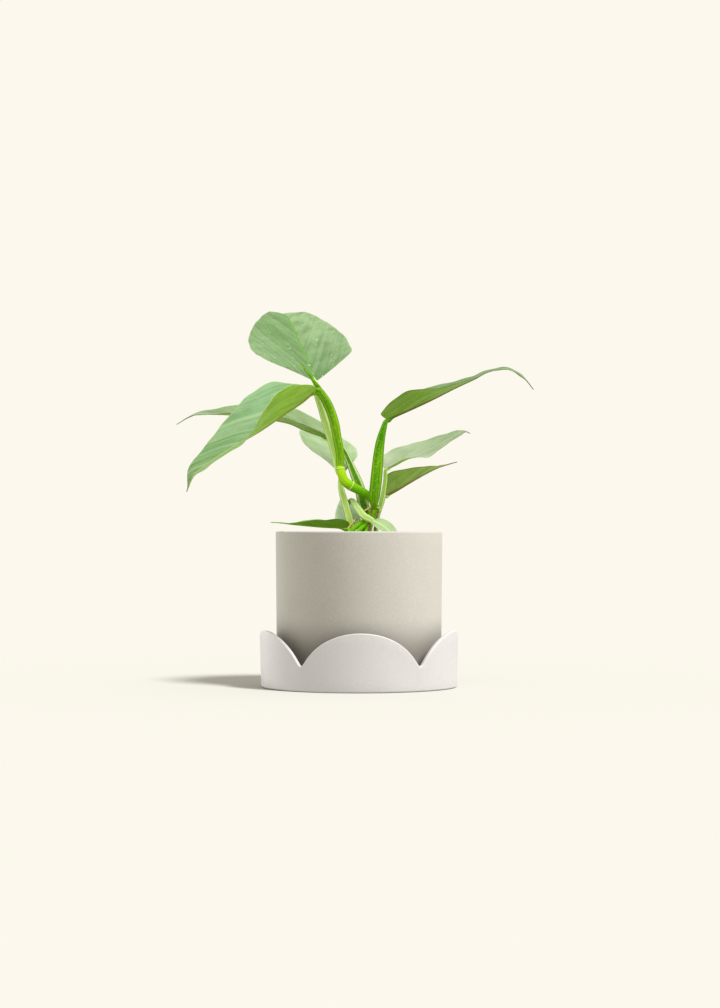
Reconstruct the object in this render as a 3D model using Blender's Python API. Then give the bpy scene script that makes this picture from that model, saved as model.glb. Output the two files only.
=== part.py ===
"""Potted philodendron hastatum on a scalloped saucer.

A plain ceramic pot stands in a deep saucer whose rim rises in five rounded scallops. Soil fills the pot,
and a short stem with ten leaves stands in it. Every number below is in millimetres, and MM turns it to
Blender's metres. The origin is on the pot's axis, at the saucer's underside. The plant's best side faces
-Y.
"""

import math

import bmesh
import bpy
import numpy as np
from mathutils import Vector

MM = 0.001

# Saucer
SCALLOPS = 5
SAUCER_RIM_RADIUS = 71.4
SAUCER_FOOT_RADIUS = 70.4
SAUCER_WALL = 3.0
SAUCER_FLOOR = 3.5
SAUCER_PEAK = 41.1
SAUCER_VALLEY = 12.3
SCALLOP_FULLNESS = 1.035  # the nearer to 1, the steeper a scallop meets its valley
VALLEY_ROUNDING = 0.05
SCALLOP_TURN = math.radians(-88.9)  # the middle of the front scallop, just right of the -Y direction
STEPS_PER_SCALLOP = 20

# Pot
POT_RIM_RADIUS = 60.0
POT_FOOT_RADIUS = 59.0
POT_WALL = 4.0
POT_FLOOR = 5.0
POT_RIM_HEIGHT = 111.6
POT_SIDES = 64
FOOT_RING_WIDTH = 6.0
FOOT_RING_HEIGHT = 1.5
DRAIN_RADIUS = 6.0
EDGE_ROUNDING = 1.2
FLOOR_CORNER = 3.0  # the slope where a floor meets its wall inside

# Soil
SOIL_BELOW_RIM = 12.0
ROOTED_DEPTH = 10.0  # how deep each stalk stands in its hole
HOLE_CLEARANCE = 0.4

GAP = 0.3  # between pieces that touch

BLADE_THICKNESS = 0.9
CREASE_WIDTH = 2.0  # a blade's halves bend up over this distance from the midrib
BLADE_FOOT = 2.0  # half the width of a blade where its stalk meets it

POT_FOOT_HEIGHT = SAUCER_FLOOR + GAP
SOIL_TOP = POT_RIM_HEIGHT - SOIL_BELOW_RIM
ROOTED_HEIGHT = SOIL_TOP - ROOTED_DEPTH

# Colour (linear RGB) and roughness
SATIN_GLAZE = ((0.62, 0.58, 0.53), 0.35)
MATT_GLAZE = ((0.5, 0.46, 0.38), 0.75)
POTTING_SOIL = ((0.045, 0.03, 0.02), 0.95)
LEAF_DARK = ((0.08, 0.19, 0.06), 0.4)
LEAF_GREEN = ((0.14, 0.3, 0.08), 0.45)
LEAF_PALE = ((0.28, 0.42, 0.2), 0.5)
STALK_GREEN = ((0.14, 0.33, 0.03), 0.4)
STALK_PALE = ((0.3, 0.48, 0.1), 0.4)
ROOT_BROWN = ((0.2, 0.12, 0.05), 0.8)
ROOT_YELLOW = ((0.4, 0.38, 0.1), 0.7)
PIECE_LOOKS = {
    "leaf_upper": LEAF_PALE, "leaf_back_left": LEAF_PALE, "leaf_centre_back": LEAF_PALE,
    "leaf_right_middle": LEAF_PALE, "leaf_low_right": LEAF_PALE, "leaf_right_upper": LEAF_DARK,
    "leaf_low_left": LEAF_DARK, "petiole_upper": STALK_PALE, "petiole_low_right": STALK_PALE,
    "stem": STALK_PALE, "root_left": ROOT_YELLOW,
}

# Blade outlines: (distance from the leaf's base over its length, distance from the midrib over its width)
OUTLINES = {
    "lance": [
        (0, 0.03), (-0.012, 0.26), (-0.014, 0.48), (0.025, 0.68), (0.095, 0.9), (0.19, 1), (0.33, 0.95),
        (0.48, 0.76), (0.62, 0.5), (0.74, 0.27), (0.84, 0.14), (0.93, 0.07), (1, 0.012),
    ],
    "wedge": [
        (0, 0.03), (0.025, 0.25), (0.06, 0.5), (0.1, 0.75), (0.14, 0.93), (0.21, 1), (0.33, 0.95),
        (0.48, 0.76), (0.62, 0.5), (0.74, 0.27), (0.84, 0.14), (0.93, 0.07), (1, 0.012),
    ],
    "tailed": [
        (0, 0.03), (0, 0.26), (0.012, 0.5), (0.04, 0.73), (0.1, 0.92), (0.2, 1), (0.35, 0.97),
        (0.5, 0.85), (0.62, 0.68), (0.72, 0.48), (0.8, 0.28), (0.86, 0.12), (0.92, 0.05), (1, 0.012),
    ],
    "broad": [
        (0, 0.03), (0.002, 0.16), (0.03, 0.38), (0.09, 0.66), (0.18, 0.92), (0.3, 1.01), (0.43, 0.98),
        (0.56, 0.86), (0.68, 0.68), (0.78, 0.5), (0.87, 0.31), (0.925, 0.12), (0.96, 0.05), (1, 0.012),
    ],
    "blunt": [
        (0, 0.03), (0.002, 0.16), (0.03, 0.38), (0.09, 0.66), (0.18, 0.92), (0.3, 1.01), (0.43, 0.98),
        (0.56, 0.86), (0.68, 0.72), (0.78, 0.61), (0.87, 0.45), (0.925, 0.22), (0.96, 0.08), (1, 0.012),
    ],
    "spade": [
        (0, 0.03), (0.002, 0.12), (0.03, 0.26), (0.09, 0.54), (0.18, 0.88), (0.3, 1.01), (0.43, 0.98),
        (0.56, 0.86), (0.68, 0.68), (0.78, 0.5), (0.87, 0.31), (0.925, 0.12), (0.96, 0.05), (1, 0.012),
    ],
    "lobed": [
        (0, 0.03), (-0.03, 0.3), (-0.04, 0.6), (-0.01, 0.85), (0.05, 0.98), (0.16, 1.02), (0.3, 1),
        (0.43, 0.93), (0.56, 0.8), (0.68, 0.63), (0.78, 0.45), (0.87, 0.27), (0.925, 0.11), (0.96, 0.05),
        (1, 0.03),
    ],
    "stepped": [
        (0, 0.03), (0.012, 0.25), (0.03, 0.5), (0.055, 0.75), (0.09, 0.93), (0.17, 1.01), (0.3, 0.96),
        (0.48, 0.73), (0.62, 0.47), (0.74, 0.26), (0.84, 0.14), (0.93, 0.07), (1, 0.012),
    ],
    "bent": [
        (0, 0.03), (0, 0.25), (0.02, 0.55), (0.07, 0.87), (0.16, 1.08), (0.29, 1.1), (0.42, 0.96),
        (0.56, 0.71), (0.68, 0.53), (0.78, 0.42), (0.87, 0.34), (0.925, 0.2), (0.96, 0.08), (1, 0.03),
    ],
    "full": [
        (0, 0.03), (0, 0.25), (0.02, 0.55), (0.07, 0.85), (0.16, 1.03), (0.29, 1.06), (0.42, 0.95),
        (0.56, 0.77), (0.68, 0.59), (0.78, 0.45), (0.87, 0.31), (0.925, 0.15), (0.96, 0.06), (1, 0.012),
    ],
    "arrow": [
        (0, 0.03), (0.01, 0.22), (0.03, 0.5), (0.05, 0.78), (0.075, 0.95), (0.13, 1.02), (0.24, 1.05),
        (0.4, 0.98), (0.56, 0.8), (0.72, 0.53), (0.85, 0.25), (0.93, 0.09), (1, 0.012),
    ],
    "cornered": [
        (0, 0.03), (0, 0.3), (0.01, 0.65), (0.04, 0.93), (0.085, 1), (0.16, 0.99), (0.3, 0.97),
        (0.45, 0.88), (0.6, 0.72), (0.75, 0.5), (0.86, 0.26), (0.93, 0.1), (1, 0.012),
    ],
    "heart": [
        (0, 0.04), (-0.02, 0.22), (-0.022, 0.48), (0.03, 0.78), (0.13, 0.96), (0.27, 1), (0.45, 0.88),
        (0.63, 0.62), (0.78, 0.34), (0.88, 0.13), (0.94, 0.045), (1, 0.012),
    ],
}

# Each blade: the midrib's points from base to tip, the half widths and outlines of its left and right
# halves as its upper face shows them with the tip pointing away, and how it lies. "roll" is the angle in
# degrees that the upper face turns towards -Y, and "face" is the direction that it looks in. "fold" is how
# far each half bends up from flat, and "curl" how much further it has bent at its margin. Keys are (place
# along the blade, value).
LEAVES = {
    "front_left": {
        "midrib": [
            (-31, -10, 213), (-40, -13, 204.5), (-53, -16, 195.5), (-69, -20, 184), (-84.5, -23, 174.5),
            (-100.5, -26, 164.5), (-111.6, -28, 156.2), (-116.4, -29, 152), (-119.2, -29.5, 147),
            (-122, -30, 139.5),
        ],
        "half_width": (36, 36),
        "outline": ("blunt", "full"),
        "roll": [(0, 3), (0.1, 4), (0.18, 6), (0.28, 12), (0.38, 18), (0.53, 25), (0.8, 24), (1, 20)],
        "fold": [
            [(0, 21), (0.18, 30), (0.28, 34), (0.38, 32), (0.53, 23), (0.62, 18), (1, 15)],
            [(0, 36), (0.1, 42), (0.18, 41), (0.28, 35), (0.38, 31), (0.53, 24), (0.62, 18), (1, 15)],
        ],
        "curl": [[(0, 0), (1, 0)]] * 2,
        "rows": 22,
    },
    "upper": {
        "midrib": [
            (-31.5, 0, 220), (-37.5, 24, 235.5), (-44.5, 50, 252), (-51.5, 76, 268.5), (-58, 98, 277.5),
            (-66, 118, 277.3),
        ],
        "half_width": (41, 33.5),
        "outline": ("arrow", "cornered"),
        "face": [(0, (0.1, -0.5, 0.8)), (0.5, (0, -0.4, 1)), (1, (0, 0.3, 1))],
        "fold": [[(0, 26), (0.5, 13), (1, 5)], [(0, 44), (0.5, 20), (1, 14)]],
        "curl": [[(0, -8), (0.5, -12), (1, -10)]] * 2,
        "rows": 22,
    },
    "right_upper": {
        "midrib": [
            (20.5, -2, 192), (27.5, -3, 195), (36.5, -4, 198.9), (51, -5.5, 205.5), (69, -7, 214.5),
            (83, -8.5, 221), (91.5, -9.5, 225.5), (99, -10, 227.5), (105, -10.5, 228), (111.5, -11, 226),
            (118.5, -11.5, 221), (125, -12, 213),
        ],
        "half_width": (26, 26),
        "outline": ("lance", "lance"),
        "roll": [(0, -3), (0.23, -1), (0.34, 3), (0.64, 4), (0.74, 14), (0.85, 18), (1, 12)],
        "fold": [
            [(0, 25), (0.12, 27), (0.23, 26), (0.34, 21), (0.46, 13), (0.58, 5), (1, 2)],
            [(0, 25), (0.12, 27), (0.23, 26), (0.34, 17), (0.46, 7), (0.58, 6), (0.7, 5), (1, 2)],
        ],
        "curl": [[(0, -2), (1, 0)]] * 2,
        "rows": 22,
    },
    "back_left": {
        "midrib": [
            (-23.5, 12, 180), (-30.5, 13.5, 182), (-40, 16, 185.5), (-50, 18, 190), (-63.5, 21, 193),
            (-79.5, 24, 195.5), (-96, 26, 197), (-109, 28, 197.5), (-118.5, 29, 197.5),
            (-125.5, 29.5, 195), (-134, 30, 190),
        ],
        "half_width": (19, 19),
        "outline": ("tailed", "tailed"),
        "roll": [(0, 9), (0.2, 13), (0.5, 15), (0.75, 16), (1, 10)],
        "fold": [
            [(0, 21), (0.2, 23), (0.5, 17), (0.7, 15), (1, 10)],
            [(0, 31), (0.2, 27), (0.5, 25), (0.7, 27), (1, 12)],
        ],
        "curl": [[(0, -2), (1, 0)]] * 2,
        "rows": 20,
    },
    "centre_back": {
        "midrib": [
            (-12.5, 10.5, 154.2), (-15.5, 19, 161.7), (-20, 30.5, 170.2), (-24.5, 44, 178.2),
            (-30, 58, 185.2), (-37, 70, 190.2), (-42.8, 80, 190.5),
        ],
        "half_width": (24, 18.3),
        "outline": ("broad", "spade"),
        "face": [(0, (0.35, -0.7, 0.7)), (0.5, (0.3, -0.5, 1)), (1, (0, 0.3, 1))],
        "fold": [[(0, 26), (0.5, 14), (1, 5)], [(0, 30), (0.5, 12), (1, 5)]],
        "curl": [[(0, -10), (1, -10)]] * 2,
        "rows": 18,
    },
    "right_middle": {
        "midrib": [
            (20, 4, 157), (26, 6, 159.5), (32.5, 8, 163), (44.5, 12, 168), (56, 15, 173.5), (66, 17, 179),
            (73.5, 19, 183.5), (77.5, 19.5, 184.5), (81, 20, 183),
        ],
        "half_width": (20, 15),
        "outline": ("lobed", "bent"),
        "roll": [(0, 17), (0.2, 20), (0.4, 27), (0.8, 27), (1, 20)],
        "fold": [[(0, 24), (0.2, 16), (0.4, 4), (1, 4)], [(0, 28), (0.2, 21), (0.4, 9), (1, 8)]],
        "curl": [[(0, -4), (1, 0)]] * 2,
        "rows": 18,
    },
    "right_lower": {
        "midrib": [
            (19.5, 15, 137), (27, 17, 141), (37, 20, 147), (47.5, 23, 153), (57.5, 26, 158),
            (65, 27, 160.5), (72, 28, 162.5),
        ],
        "half_width": (17, 18),
        "outline": ("wedge", "stepped"),
        "roll": [(0, -8), (0.3, -4), (1, 0)],
        "fold": [
            [(0, 48), (0.2, 40), (0.4, 32), (0.7, 24), (1, 15)],
            [(0, 57), (0.2, 46), (0.4, 32), (0.7, 22), (1, 15)],
        ],
        "curl": [[(0, -4), (1, 0)]] * 2,
        "rows": 18,
    },
    "low_left": {
        "midrib": [
            (-9.5, -8, 113.7), (-15.5, -11, 114.2), (-26.5, -15, 114.7), (-38.5, -20, 115.7),
            (-49, -24, 116.7), (-56, -26, 117.7), (-62.5, -28, 118),
        ],
        "half_width": (11, 11),
        "outline": ("lance", "lance"),
        "roll": [(0, -3), (1, 5)],
        "fold": [[(0, 42), (0.5, 36), (1, 20)], [(0, 38), (0.5, 30), (1, 20)]],
        "curl": [[(0, -6), (1, 0)]] * 2,
        "rows": 16,
        "columns": 3,
    },
    "low_back": {
        "midrib": [
            (-6.5, 15, 113.5), (-8, 17.5, 119), (-9.6, 20, 126.5), (-11.3, 23, 133.5), (-13.2, 27, 138.5),
        ],
        "half_width": (9.5, 9.5),
        "outline": ("heart", "heart"),
        "face": [(0, (0.1, -1, 0.6)), (1, (0.1, -0.6, 0.9))],
        "fold": [[(0, 14), (0.5, 8), (1, 5)]] * 2,
        "curl": [[(0, -6), (1, -6)]] * 2,
        "rows": 14,
        "columns": 3,
    },
    "low_right": {
        "midrib": [
            (9.5, -8, 119), (14.5, -10.5, 117), (19.5, -13, 113.5), (23.5, -16, 109.5), (28, -20, 106),
            (31, -25, 103),
        ],
        "half_width": (7.8, 8),
        "outline": ("broad", "broad"),
        "roll": [(0, 32), (1, 36)],
        "fold": [[(0, 14), (0.5, 10), (1, 5)]] * 2,
        "curl": [[(0, -6), (1, 0)]] * 2,
        "rows": 14,
        "columns": 3,
    },
}

# Petioles, from where they are carried to just short of their blades: (x, y, z, half width across the view
# from -Y, half width along it where that differs). Those that stand in soil start at its surface.
PETIOLES = {
    "front_left": [
        (-13.5, -4, 158.3, 3), (-14, -5, 170, 3.1), (-16, -6, 180, 3.3), (-17.5, -7, 188.5, 3.4),
        (-20.5, -8, 198, 3.4), (-24, -9, 205.5, 3.2), (-29.4, -10, 212.7, 2.5),
    ],
    "upper": [
        (-15.5, -0.5, 156.4, 2, 1.6), (-17.5, 3.5, 166.5, 2.4, 1.5), (-21, 4, 179, 2.5, 1.4),
        (-24, 3.5, 189, 2.6, 1.4), (-27.5, 3, 200.5, 2.3, 1.4), (-30.5, 2, 210, 2, 1.4),
        (-31.4, 0, 219.2, 1.7, 1.4),
    ],
    "right_upper": [
        (11, -3.5, 131, 2.4), (11, -4, 136, 3.9), (12, -4.5, 145, 4.2), (13, -4, 155.5, 4.1),
        (14, -3.5, 166.5, 3.7), (15.5, -3, 177, 3.1), (17.5, -2.5, 185, 2.3), (19.8, -2, 191.2, 1.6),
    ],
    "back_left": [
        (2, 10, SOIL_TOP, 3.6), (5, 10, 109, 4), (6, 10.5, 118.5, 4), (4.5, 11, 126.5, 4),
        (2.3, 11, 134.5, 4), (0.4, 11, 143.5, 3.6), (-3.2, 10.5, 152.5, 3.2), (-6.7, 10.5, 161, 2.5),
        (-11, 11, 170, 2.1), (-16.5, 12, 176.5, 1.9), (-22.8, 12, 179.3, 1.7),
    ],
    "centre_back": [
        (-6, 3, SOIL_TOP, 3.3), (-6, 3.5, 109, 3.3), (-6.5, 4, 118.5, 3.1), (-9, 5, 128.5, 2.8),
        (-12, 6.5, 138.5, 2.4), (-13.4, 9, 146.5, 1.9), (-12.5, 10.4, 153.4, 1.5),
    ],
    "right_middle": [
        (15, 3, 127.5, 1.7), (16.5, 3.5, 134, 1.7), (18, 4, 141.5, 1.6), (19, 4, 148.5, 1.5),
        (19.5, 4, 156.2, 1.3),
    ],
    "right_lower": [
        (12.5, 14, SOIL_TOP, 1.8), (12.2, 14, 111, 1.8), (13, 14.5, 120, 1.7), (15, 15, 127, 1.5),
        (17, 15, 132, 1.3), (18.8, 15, 136.7, 1.1),
    ],
    "low_left": [
        (-6, -12, SOIL_TOP, 1.5), (-6, -11, 105.5, 1.5), (-7, -9.5, 110.2, 1.5), (-8, -8.2, 113.1, 1.3),
    ],
    "low_back": [(-6, 15.5, SOIL_TOP, 1.2), (-6, 15, 106.5, 1.2), (-6.5, 15, 112.8, 1)],
    "low_right": [
        (-7, 9.5, SOIL_TOP, 1.6), (-8.5, 10, 109, 1.6), (-8.5, 10.5, 118.5, 1.6),
        (-8.5, 10.5, 126.5, 1.6), (-7.5, 9.5, 132.3, 1.6), (-5.5, 6.5, 134.2, 1.6, 1.4),
        (-3.5, 2.5, 132, 2.2, 1.3), (-0.5, -2.5, 127.5, 2.5, 1.2), (3.5, -6, 122.5, 2.6, 1.1),
        (9.2, -8, 119.3, 2.2, 1),
    ],
}

# The main stem rises from the soil to its first node, runs left to the second and turns up to the third.
STEM = [
    (3, 0, SOIL_TOP, 4.4), (4, 0, 110.5, 4.2), (6, 0, 117, 3.4), (9, 0, 122.5, 2.8), (11, 0, 128.5, 3),
    (10.5, 2.5, 132, 2.8), (8, 4, 136, 2.9), (3.5, 3, 139.5, 3.1), (-0.5, 1, 141.5, 3.2),
    (-6, -1.5, 144.5, 3.5), (-10.5, -3, 148, 3.4), (-12.5, -4, 153, 3.2), (-13.5, -4, 157.5, 3.1),
]
# Sheaths at the stem's foot, grown to it
SHEATHS = [
    [
        (-8, -5, SOIL_TOP, 1.7), (-7, -5, 105.5, 1.7), (-4.5, -4.5, 112.5, 1.7), (1.5, -3, 117.5, 1.7),
        (8, -1, 122.5, 1.7),
    ],
    [
        (-3.5, -7, SOIL_TOP, 1.8), (-3, -7, 105.5, 1.8), (0, -6, 112, 1.8), (4.5, -4, 116, 1.8),
        (8.5, -1.5, 121, 1.8),
    ],
    [
        (2, -8, SOIL_TOP, 1.8), (3, -8, 104.5, 1.8), (5, -6, 110.5, 1.8), (7, -4, 114.5, 1.8),
        (9.5, -1, 119.5, 1.8),
    ],
]
# The next leaf, still rolled
SPEAR = [
    (-23, -4, 204.5, 1.4), (-26, -4.5, 210, 1.6), (-29, -6, 215, 1.6), (-32, -8, 218.5, 1.3),
    (-35, -9, 223, 0.95), (-38.5, -9.5, 227, 0.7), (-41.5, -10, 232.5, 0.35),
]
# Aerial roots, from the soil up to the first node
ROOTS = {
    "left": [
        (-12, -3, SOIL_TOP, 0.6), (-11.5, -3, 107, 0.6), (-8.5, -2, 112.5, 0.6), (-5, -1.5, 117, 0.6),
        (-0.5, -1, 122.5, 0.6), (2, -1.5, 125, 0.6), (8.5, -3, 129, 0.6),
    ],
    "right": [
        (11, -6, SOIL_TOP, 0.7), (11.5, -5, 112.5, 0.7), (12, -4.5, 119.5, 0.7), (13.5, -4, 124.5, 0.8),
        (14, -3, 127.5, 0.8),
    ],
    "front": [
        (5.5, -11, SOIL_TOP, 0.5), (6, -10.5, 107, 0.5), (7, -9, 112.5, 0.5), (7.5, -7.3, 116, 0.5),
        (8, -5.5, 119, 0.5), (8.5, -4.6, 122.5, 0.5), (9, -3.9, 126, 0.5),
    ],
}


def unit(vectors):
    return vectors / np.linalg.norm(vectors, axis=-1, keepdims=True)


def smooth_line(points, places):
    """Points on a smooth curve through the given points, at places from 0 to 1 along its length."""
    points = np.asarray(points, float)
    padded = np.vstack([2 * points[0] - points[1], points, 2 * points[-1] - points[-2]])
    dense = []
    for i in range(1, len(padded) - 2):
        four = padded[i - 1 : i + 3]
        steps = np.sqrt(np.maximum(np.linalg.norm(np.diff(four, axis=0), axis=1), 1e-9))
        knot = np.concatenate([[0], np.cumsum(steps)])
        t = np.linspace(knot[1], knot[2], 24, endpoint=i == len(padded) - 3)[:, None]
        layer = [((knot[k + 1] - t) * four[k] + (t - knot[k]) * four[k + 1]) / steps[k] for k in range(3)]
        low = ((knot[2] - t) * layer[0] + (t - knot[0]) * layer[1]) / (knot[2] - knot[0])
        high = ((knot[3] - t) * layer[1] + (t - knot[1]) * layer[2]) / (knot[3] - knot[1])
        dense.append(((knot[2] - t) * low + (t - knot[1]) * high) / steps[1])
    dense = np.vstack(dense)
    run = np.concatenate([[0], np.cumsum(np.linalg.norm(np.diff(dense, axis=0), axis=1))])
    return np.stack([np.interp(np.asarray(places) * run[-1], run, column) for column in dense.T], 1)


def between_keys(keys, places):
    """Values between (place, value) keys, with the corners rounded off."""
    at = np.array([key[0] for key in keys], float)
    values = np.array([key[1] for key in keys], float).reshape(len(keys), -1)
    shifts = (-0.05, -0.025, 0, 0.025, 0.05)
    rounded = sum(np.stack([np.interp(places + s, at, column) for column in values.T], -1) for s in shifts)
    rounded = rounded / len(shifts)
    return rounded[..., 0] if rounded.shape[-1] == 1 else rounded


def upward(tangent, leaf, places):
    """The direction that the upper face looks in, square to the midrib."""
    if "face" in leaf:
        face = between_keys(leaf["face"], places)
        return unit(face - (face * tangent).sum(1)[:, None] * tangent)
    away = np.array([0.0, 1.0, 0.0])
    deep = unit(away - (tangent @ away)[:, None] * tangent)
    up = np.cross(deep, tangent)
    up *= np.sign(up[:, 2:])
    roll = np.radians(between_keys(leaf["roll"], places))[:, None]
    return np.cos(roll) * up - np.sin(roll) * deep


def blade_grid(leaf):
    """The blade's middle surface as [row, column] points, from its left margin to its right one.

    Rows run from the midrib forward to the margin, as the veins do."""
    rows = leaf["rows"]
    columns = leaf.get("columns", 4)
    line = smooth_line(leaf["midrib"], np.linspace(0, 1, 400))
    length = np.linalg.norm(np.diff(line, axis=0), axis=1).sum()
    tangents = unit(np.gradient(line, axis=0))
    line_places = np.linspace(0, 1, len(line))
    share = np.linspace(BLADE_FOOT / length, 1, rows + 1)
    rib_places = 0.15 * share + 0.847 * share**2
    grid = np.zeros((rows + 1, 2 * columns + 1, 3))
    for half, side in enumerate((-1, 1)):
        width = leaf["half_width"][half]
        outline = np.array(OUTLINES[leaf["outline"][half]], float) * [1, width / length]
        margin = smooth_line(outline, share) * [1, length / width]
        for column in range(columns + 1):
            part = column / columns
            place = rib_places + part * (margin[:, 0] - rib_places)
            distance = part * margin[:, 1] * width
            tangent = unit(np.stack([np.interp(place, line_places, c) for c in tangents.T], 1))
            centre = np.stack([np.interp(place, line_places, c) for c in line.T], 1)
            centre += tangent * (np.minimum(place, 0) * length)[:, None]
            up = upward(tangent, leaf, place)
            out = np.cross(tangent, up) * side
            fold = np.radians(between_keys(leaf["fold"][half], place))
            curl = np.radians(between_keys(leaf["curl"][half], place))
            steps = 12
            for step in range(steps):
                reached = distance * (step + 0.5) / steps
                angle = fold * np.minimum(reached / CREASE_WIDTH, 1) + curl * reached / width
                run = (distance / steps)[:, None]
                centre = centre + out * np.cos(angle)[:, None] * run + up * np.sin(angle)[:, None] * run
            grid[:, columns + side * column] = centre
    return grid


def stalk_rings(points, spacing, sides):
    """Rings of points round a stalk, whose ends are rounded over."""
    points = [p if len(p) == 5 else (*p, p[3]) for p in points]
    path = np.array([p[:3] for p in points], float)
    length = np.linalg.norm(np.diff(path, axis=0), axis=1).sum()
    count = max(4, round(length / spacing))
    places = np.linspace(0, 1, count + 1)
    middle = smooth_line(path, places)
    run = np.concatenate([[0], np.cumsum(np.linalg.norm(np.diff(path, axis=0), axis=1))]) / length
    across = np.interp(places, run, [p[3] for p in points])
    along = np.interp(places, run, [p[4] for p in points])
    tangent = unit(np.gradient(middle, axis=0))
    front = np.array([0.0, -1.0, 0.0])
    rings = []
    for i, (centre, direction) in enumerate(zip(middle, tangent)):
        toward = unit(front - front @ direction * direction)
        beside = np.cross(direction, toward)
        angles = np.linspace(0, 2 * np.pi, sides, endpoint=False)[:, None]
        shape = along[i] * np.cos(angles) * toward + across[i] * np.sin(angles) * beside
        tip = 0.5 * min(across[i], along[i]) * direction
        if i == 0:
            rings.append(centre + 0.7 * shape)
            rings.append(centre + tip + shape)
        elif i == count:
            rings.append(centre - tip + shape)
            rings.append(centre + 0.7 * shape)
        else:
            rings.append(centre + shape)
    return rings


def loft(mesh, rings):
    """Faces over a row of closed rings, with its ends filled."""
    made = [[mesh.verts.new(point * MM) for point in ring] for ring in rings]
    sides = len(made[0])
    for low, high in zip(made, made[1:]):
        for i in range(sides):
            mesh.faces.new((low[i], low[(i + 1) % sides], high[(i + 1) % sides], high[i]))
    mesh.faces.new(reversed(made[0]))
    mesh.faces.new(made[-1])


def new_object(name, mesh, look=None, origin=(0, 0, 0)):
    """An object of its own from a bmesh, smooth but for edges sharper than 40 degrees."""
    origin = Vector(origin[:3]) * MM
    bmesh.ops.translate(mesh, verts=mesh.verts, vec=-origin)
    bmesh.ops.recalc_face_normals(mesh, faces=mesh.faces)
    data = bpy.data.meshes.new(name)
    mesh.to_mesh(data)
    mesh.free()
    data.shade_smooth()
    data.set_sharp_from_angle(angle=math.radians(40))
    thing = bpy.data.objects.new(name, data)
    thing.location = origin
    bpy.context.scene.collection.objects.link(thing)
    if look:
        data.materials.append(new_material(name, *look))
    return thing


def new_material(name, colour, roughness):
    material = bpy.data.materials.new(f"{name}_surface")
    material.use_nodes = True
    shader = material.node_tree.nodes["Principled BSDF"]
    shader.inputs["Base Color"].default_value = (*colour, 1)
    shader.inputs["Roughness"].default_value = roughness
    shader.inputs["Metallic"].default_value = 0
    return material


def crest_height(angle):
    """Height of the saucer's rim at an angle round it."""
    half = math.pi / SCALLOPS
    across = (angle - SCALLOP_TURN + half) % (2 * half) / half - 1
    across = 1 - math.sqrt((1 - abs(across)) ** 2 + VALLEY_ROUNDING**2)
    low = math.sqrt(SCALLOP_FULLNESS**2 - 1)
    rise = (math.sqrt(SCALLOP_FULLNESS**2 - across**2) - low) / (SCALLOP_FULLNESS - low)
    return SAUCER_VALLEY + (SAUCER_PEAK - SAUCER_VALLEY) * rise


def saucer():
    """Each angle has one profile, from the underside up the outer wall, over the rim and down inside."""
    mesh = bmesh.new()
    half = math.pi / SCALLOPS
    angles = []
    for scallop in range(SCALLOPS):
        middle = SCALLOP_TURN + 2 * half * scallop
        for i in range(STEPS_PER_SCALLOP):
            share = 2 * i / STEPS_PER_SCALLOP - 1
            # Steps are shorter near the valleys, where the rim turns fastest.
            angles.append(middle + half * math.sin(share * math.pi / 2))
    rounding = SAUCER_WALL / 2
    profiles = []
    for angle in angles:
        nearby = 0.002
        rise = crest_height(angle + nearby) - crest_height(angle - nearby)
        slope = rise / (2 * nearby * SAUCER_RIM_RADIUS)
        lean = math.hypot(1, slope)
        points = [(SAUCER_FOOT_RADIUS - EDGE_ROUNDING, 0, 0), (SAUCER_FOOT_RADIUS, 0, EDGE_ROUNDING)]
        # The rim is a half round, set back from the crest square to the crest's own slope.
        for turn in (0, 45, 90, 135, 180):
            back = rounding * (1 - math.sin(math.radians(turn)))
            inward = rounding * (1 - math.cos(math.radians(turn)))
            along = slope / lean * back
            points.append((SAUCER_RIM_RADIUS - inward, along, crest_height(angle) - back / lean))
        inner = SAUCER_FOOT_RADIUS - SAUCER_WALL
        points.append((inner, 0, SAUCER_FLOOR + FLOOR_CORNER))
        points.append((inner - FLOOR_CORNER, 0, SAUCER_FLOOR))
        ring = []
        for radius, along, height in points:
            turn = angle + along / SAUCER_RIM_RADIUS
            point = Vector((radius * math.cos(turn), radius * math.sin(turn), height))
            ring.append(mesh.verts.new(point * MM))
        profiles.append(ring)
    under = mesh.verts.new((0, 0, 0))
    floor = mesh.verts.new((0, 0, SAUCER_FLOOR * MM))
    for here, there in zip(profiles, profiles[1:] + profiles[:1]):
        for i in range(len(here) - 1):
            mesh.faces.new((here[i], there[i], there[i + 1], here[i + 1]))
        mesh.faces.new((here[0], under, there[0]))
        mesh.faces.new((here[-1], there[-1], floor))
    return new_object("saucer", mesh, SATIN_GLAZE)


def turned(name, profile, sides, look):
    """A closed (radius, height) profile turned round the Z axis."""
    mesh = bmesh.new()
    corners = [mesh.verts.new((radius * MM, 0, height * MM)) for radius, height in profile]
    edges = [mesh.edges.new((a, b)) for a, b in zip(corners, corners[1:] + corners[:1])]
    bmesh.ops.spin(
        mesh, geom=corners + edges, axis=(0, 0, 1), cent=(0, 0, 0), angle=2 * math.pi, steps=sides,
        use_merge=True,
    )
    return new_object(name, mesh, look)


def pot_inner_radius(height):
    """Radius of the pot's inner wall, which follows the outer taper."""
    share = (height - POT_FOOT_HEIGHT) / (POT_RIM_HEIGHT - POT_FOOT_HEIGHT)
    return POT_FOOT_RADIUS + (POT_RIM_RADIUS - POT_FOOT_RADIUS) * share - POT_WALL


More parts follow.
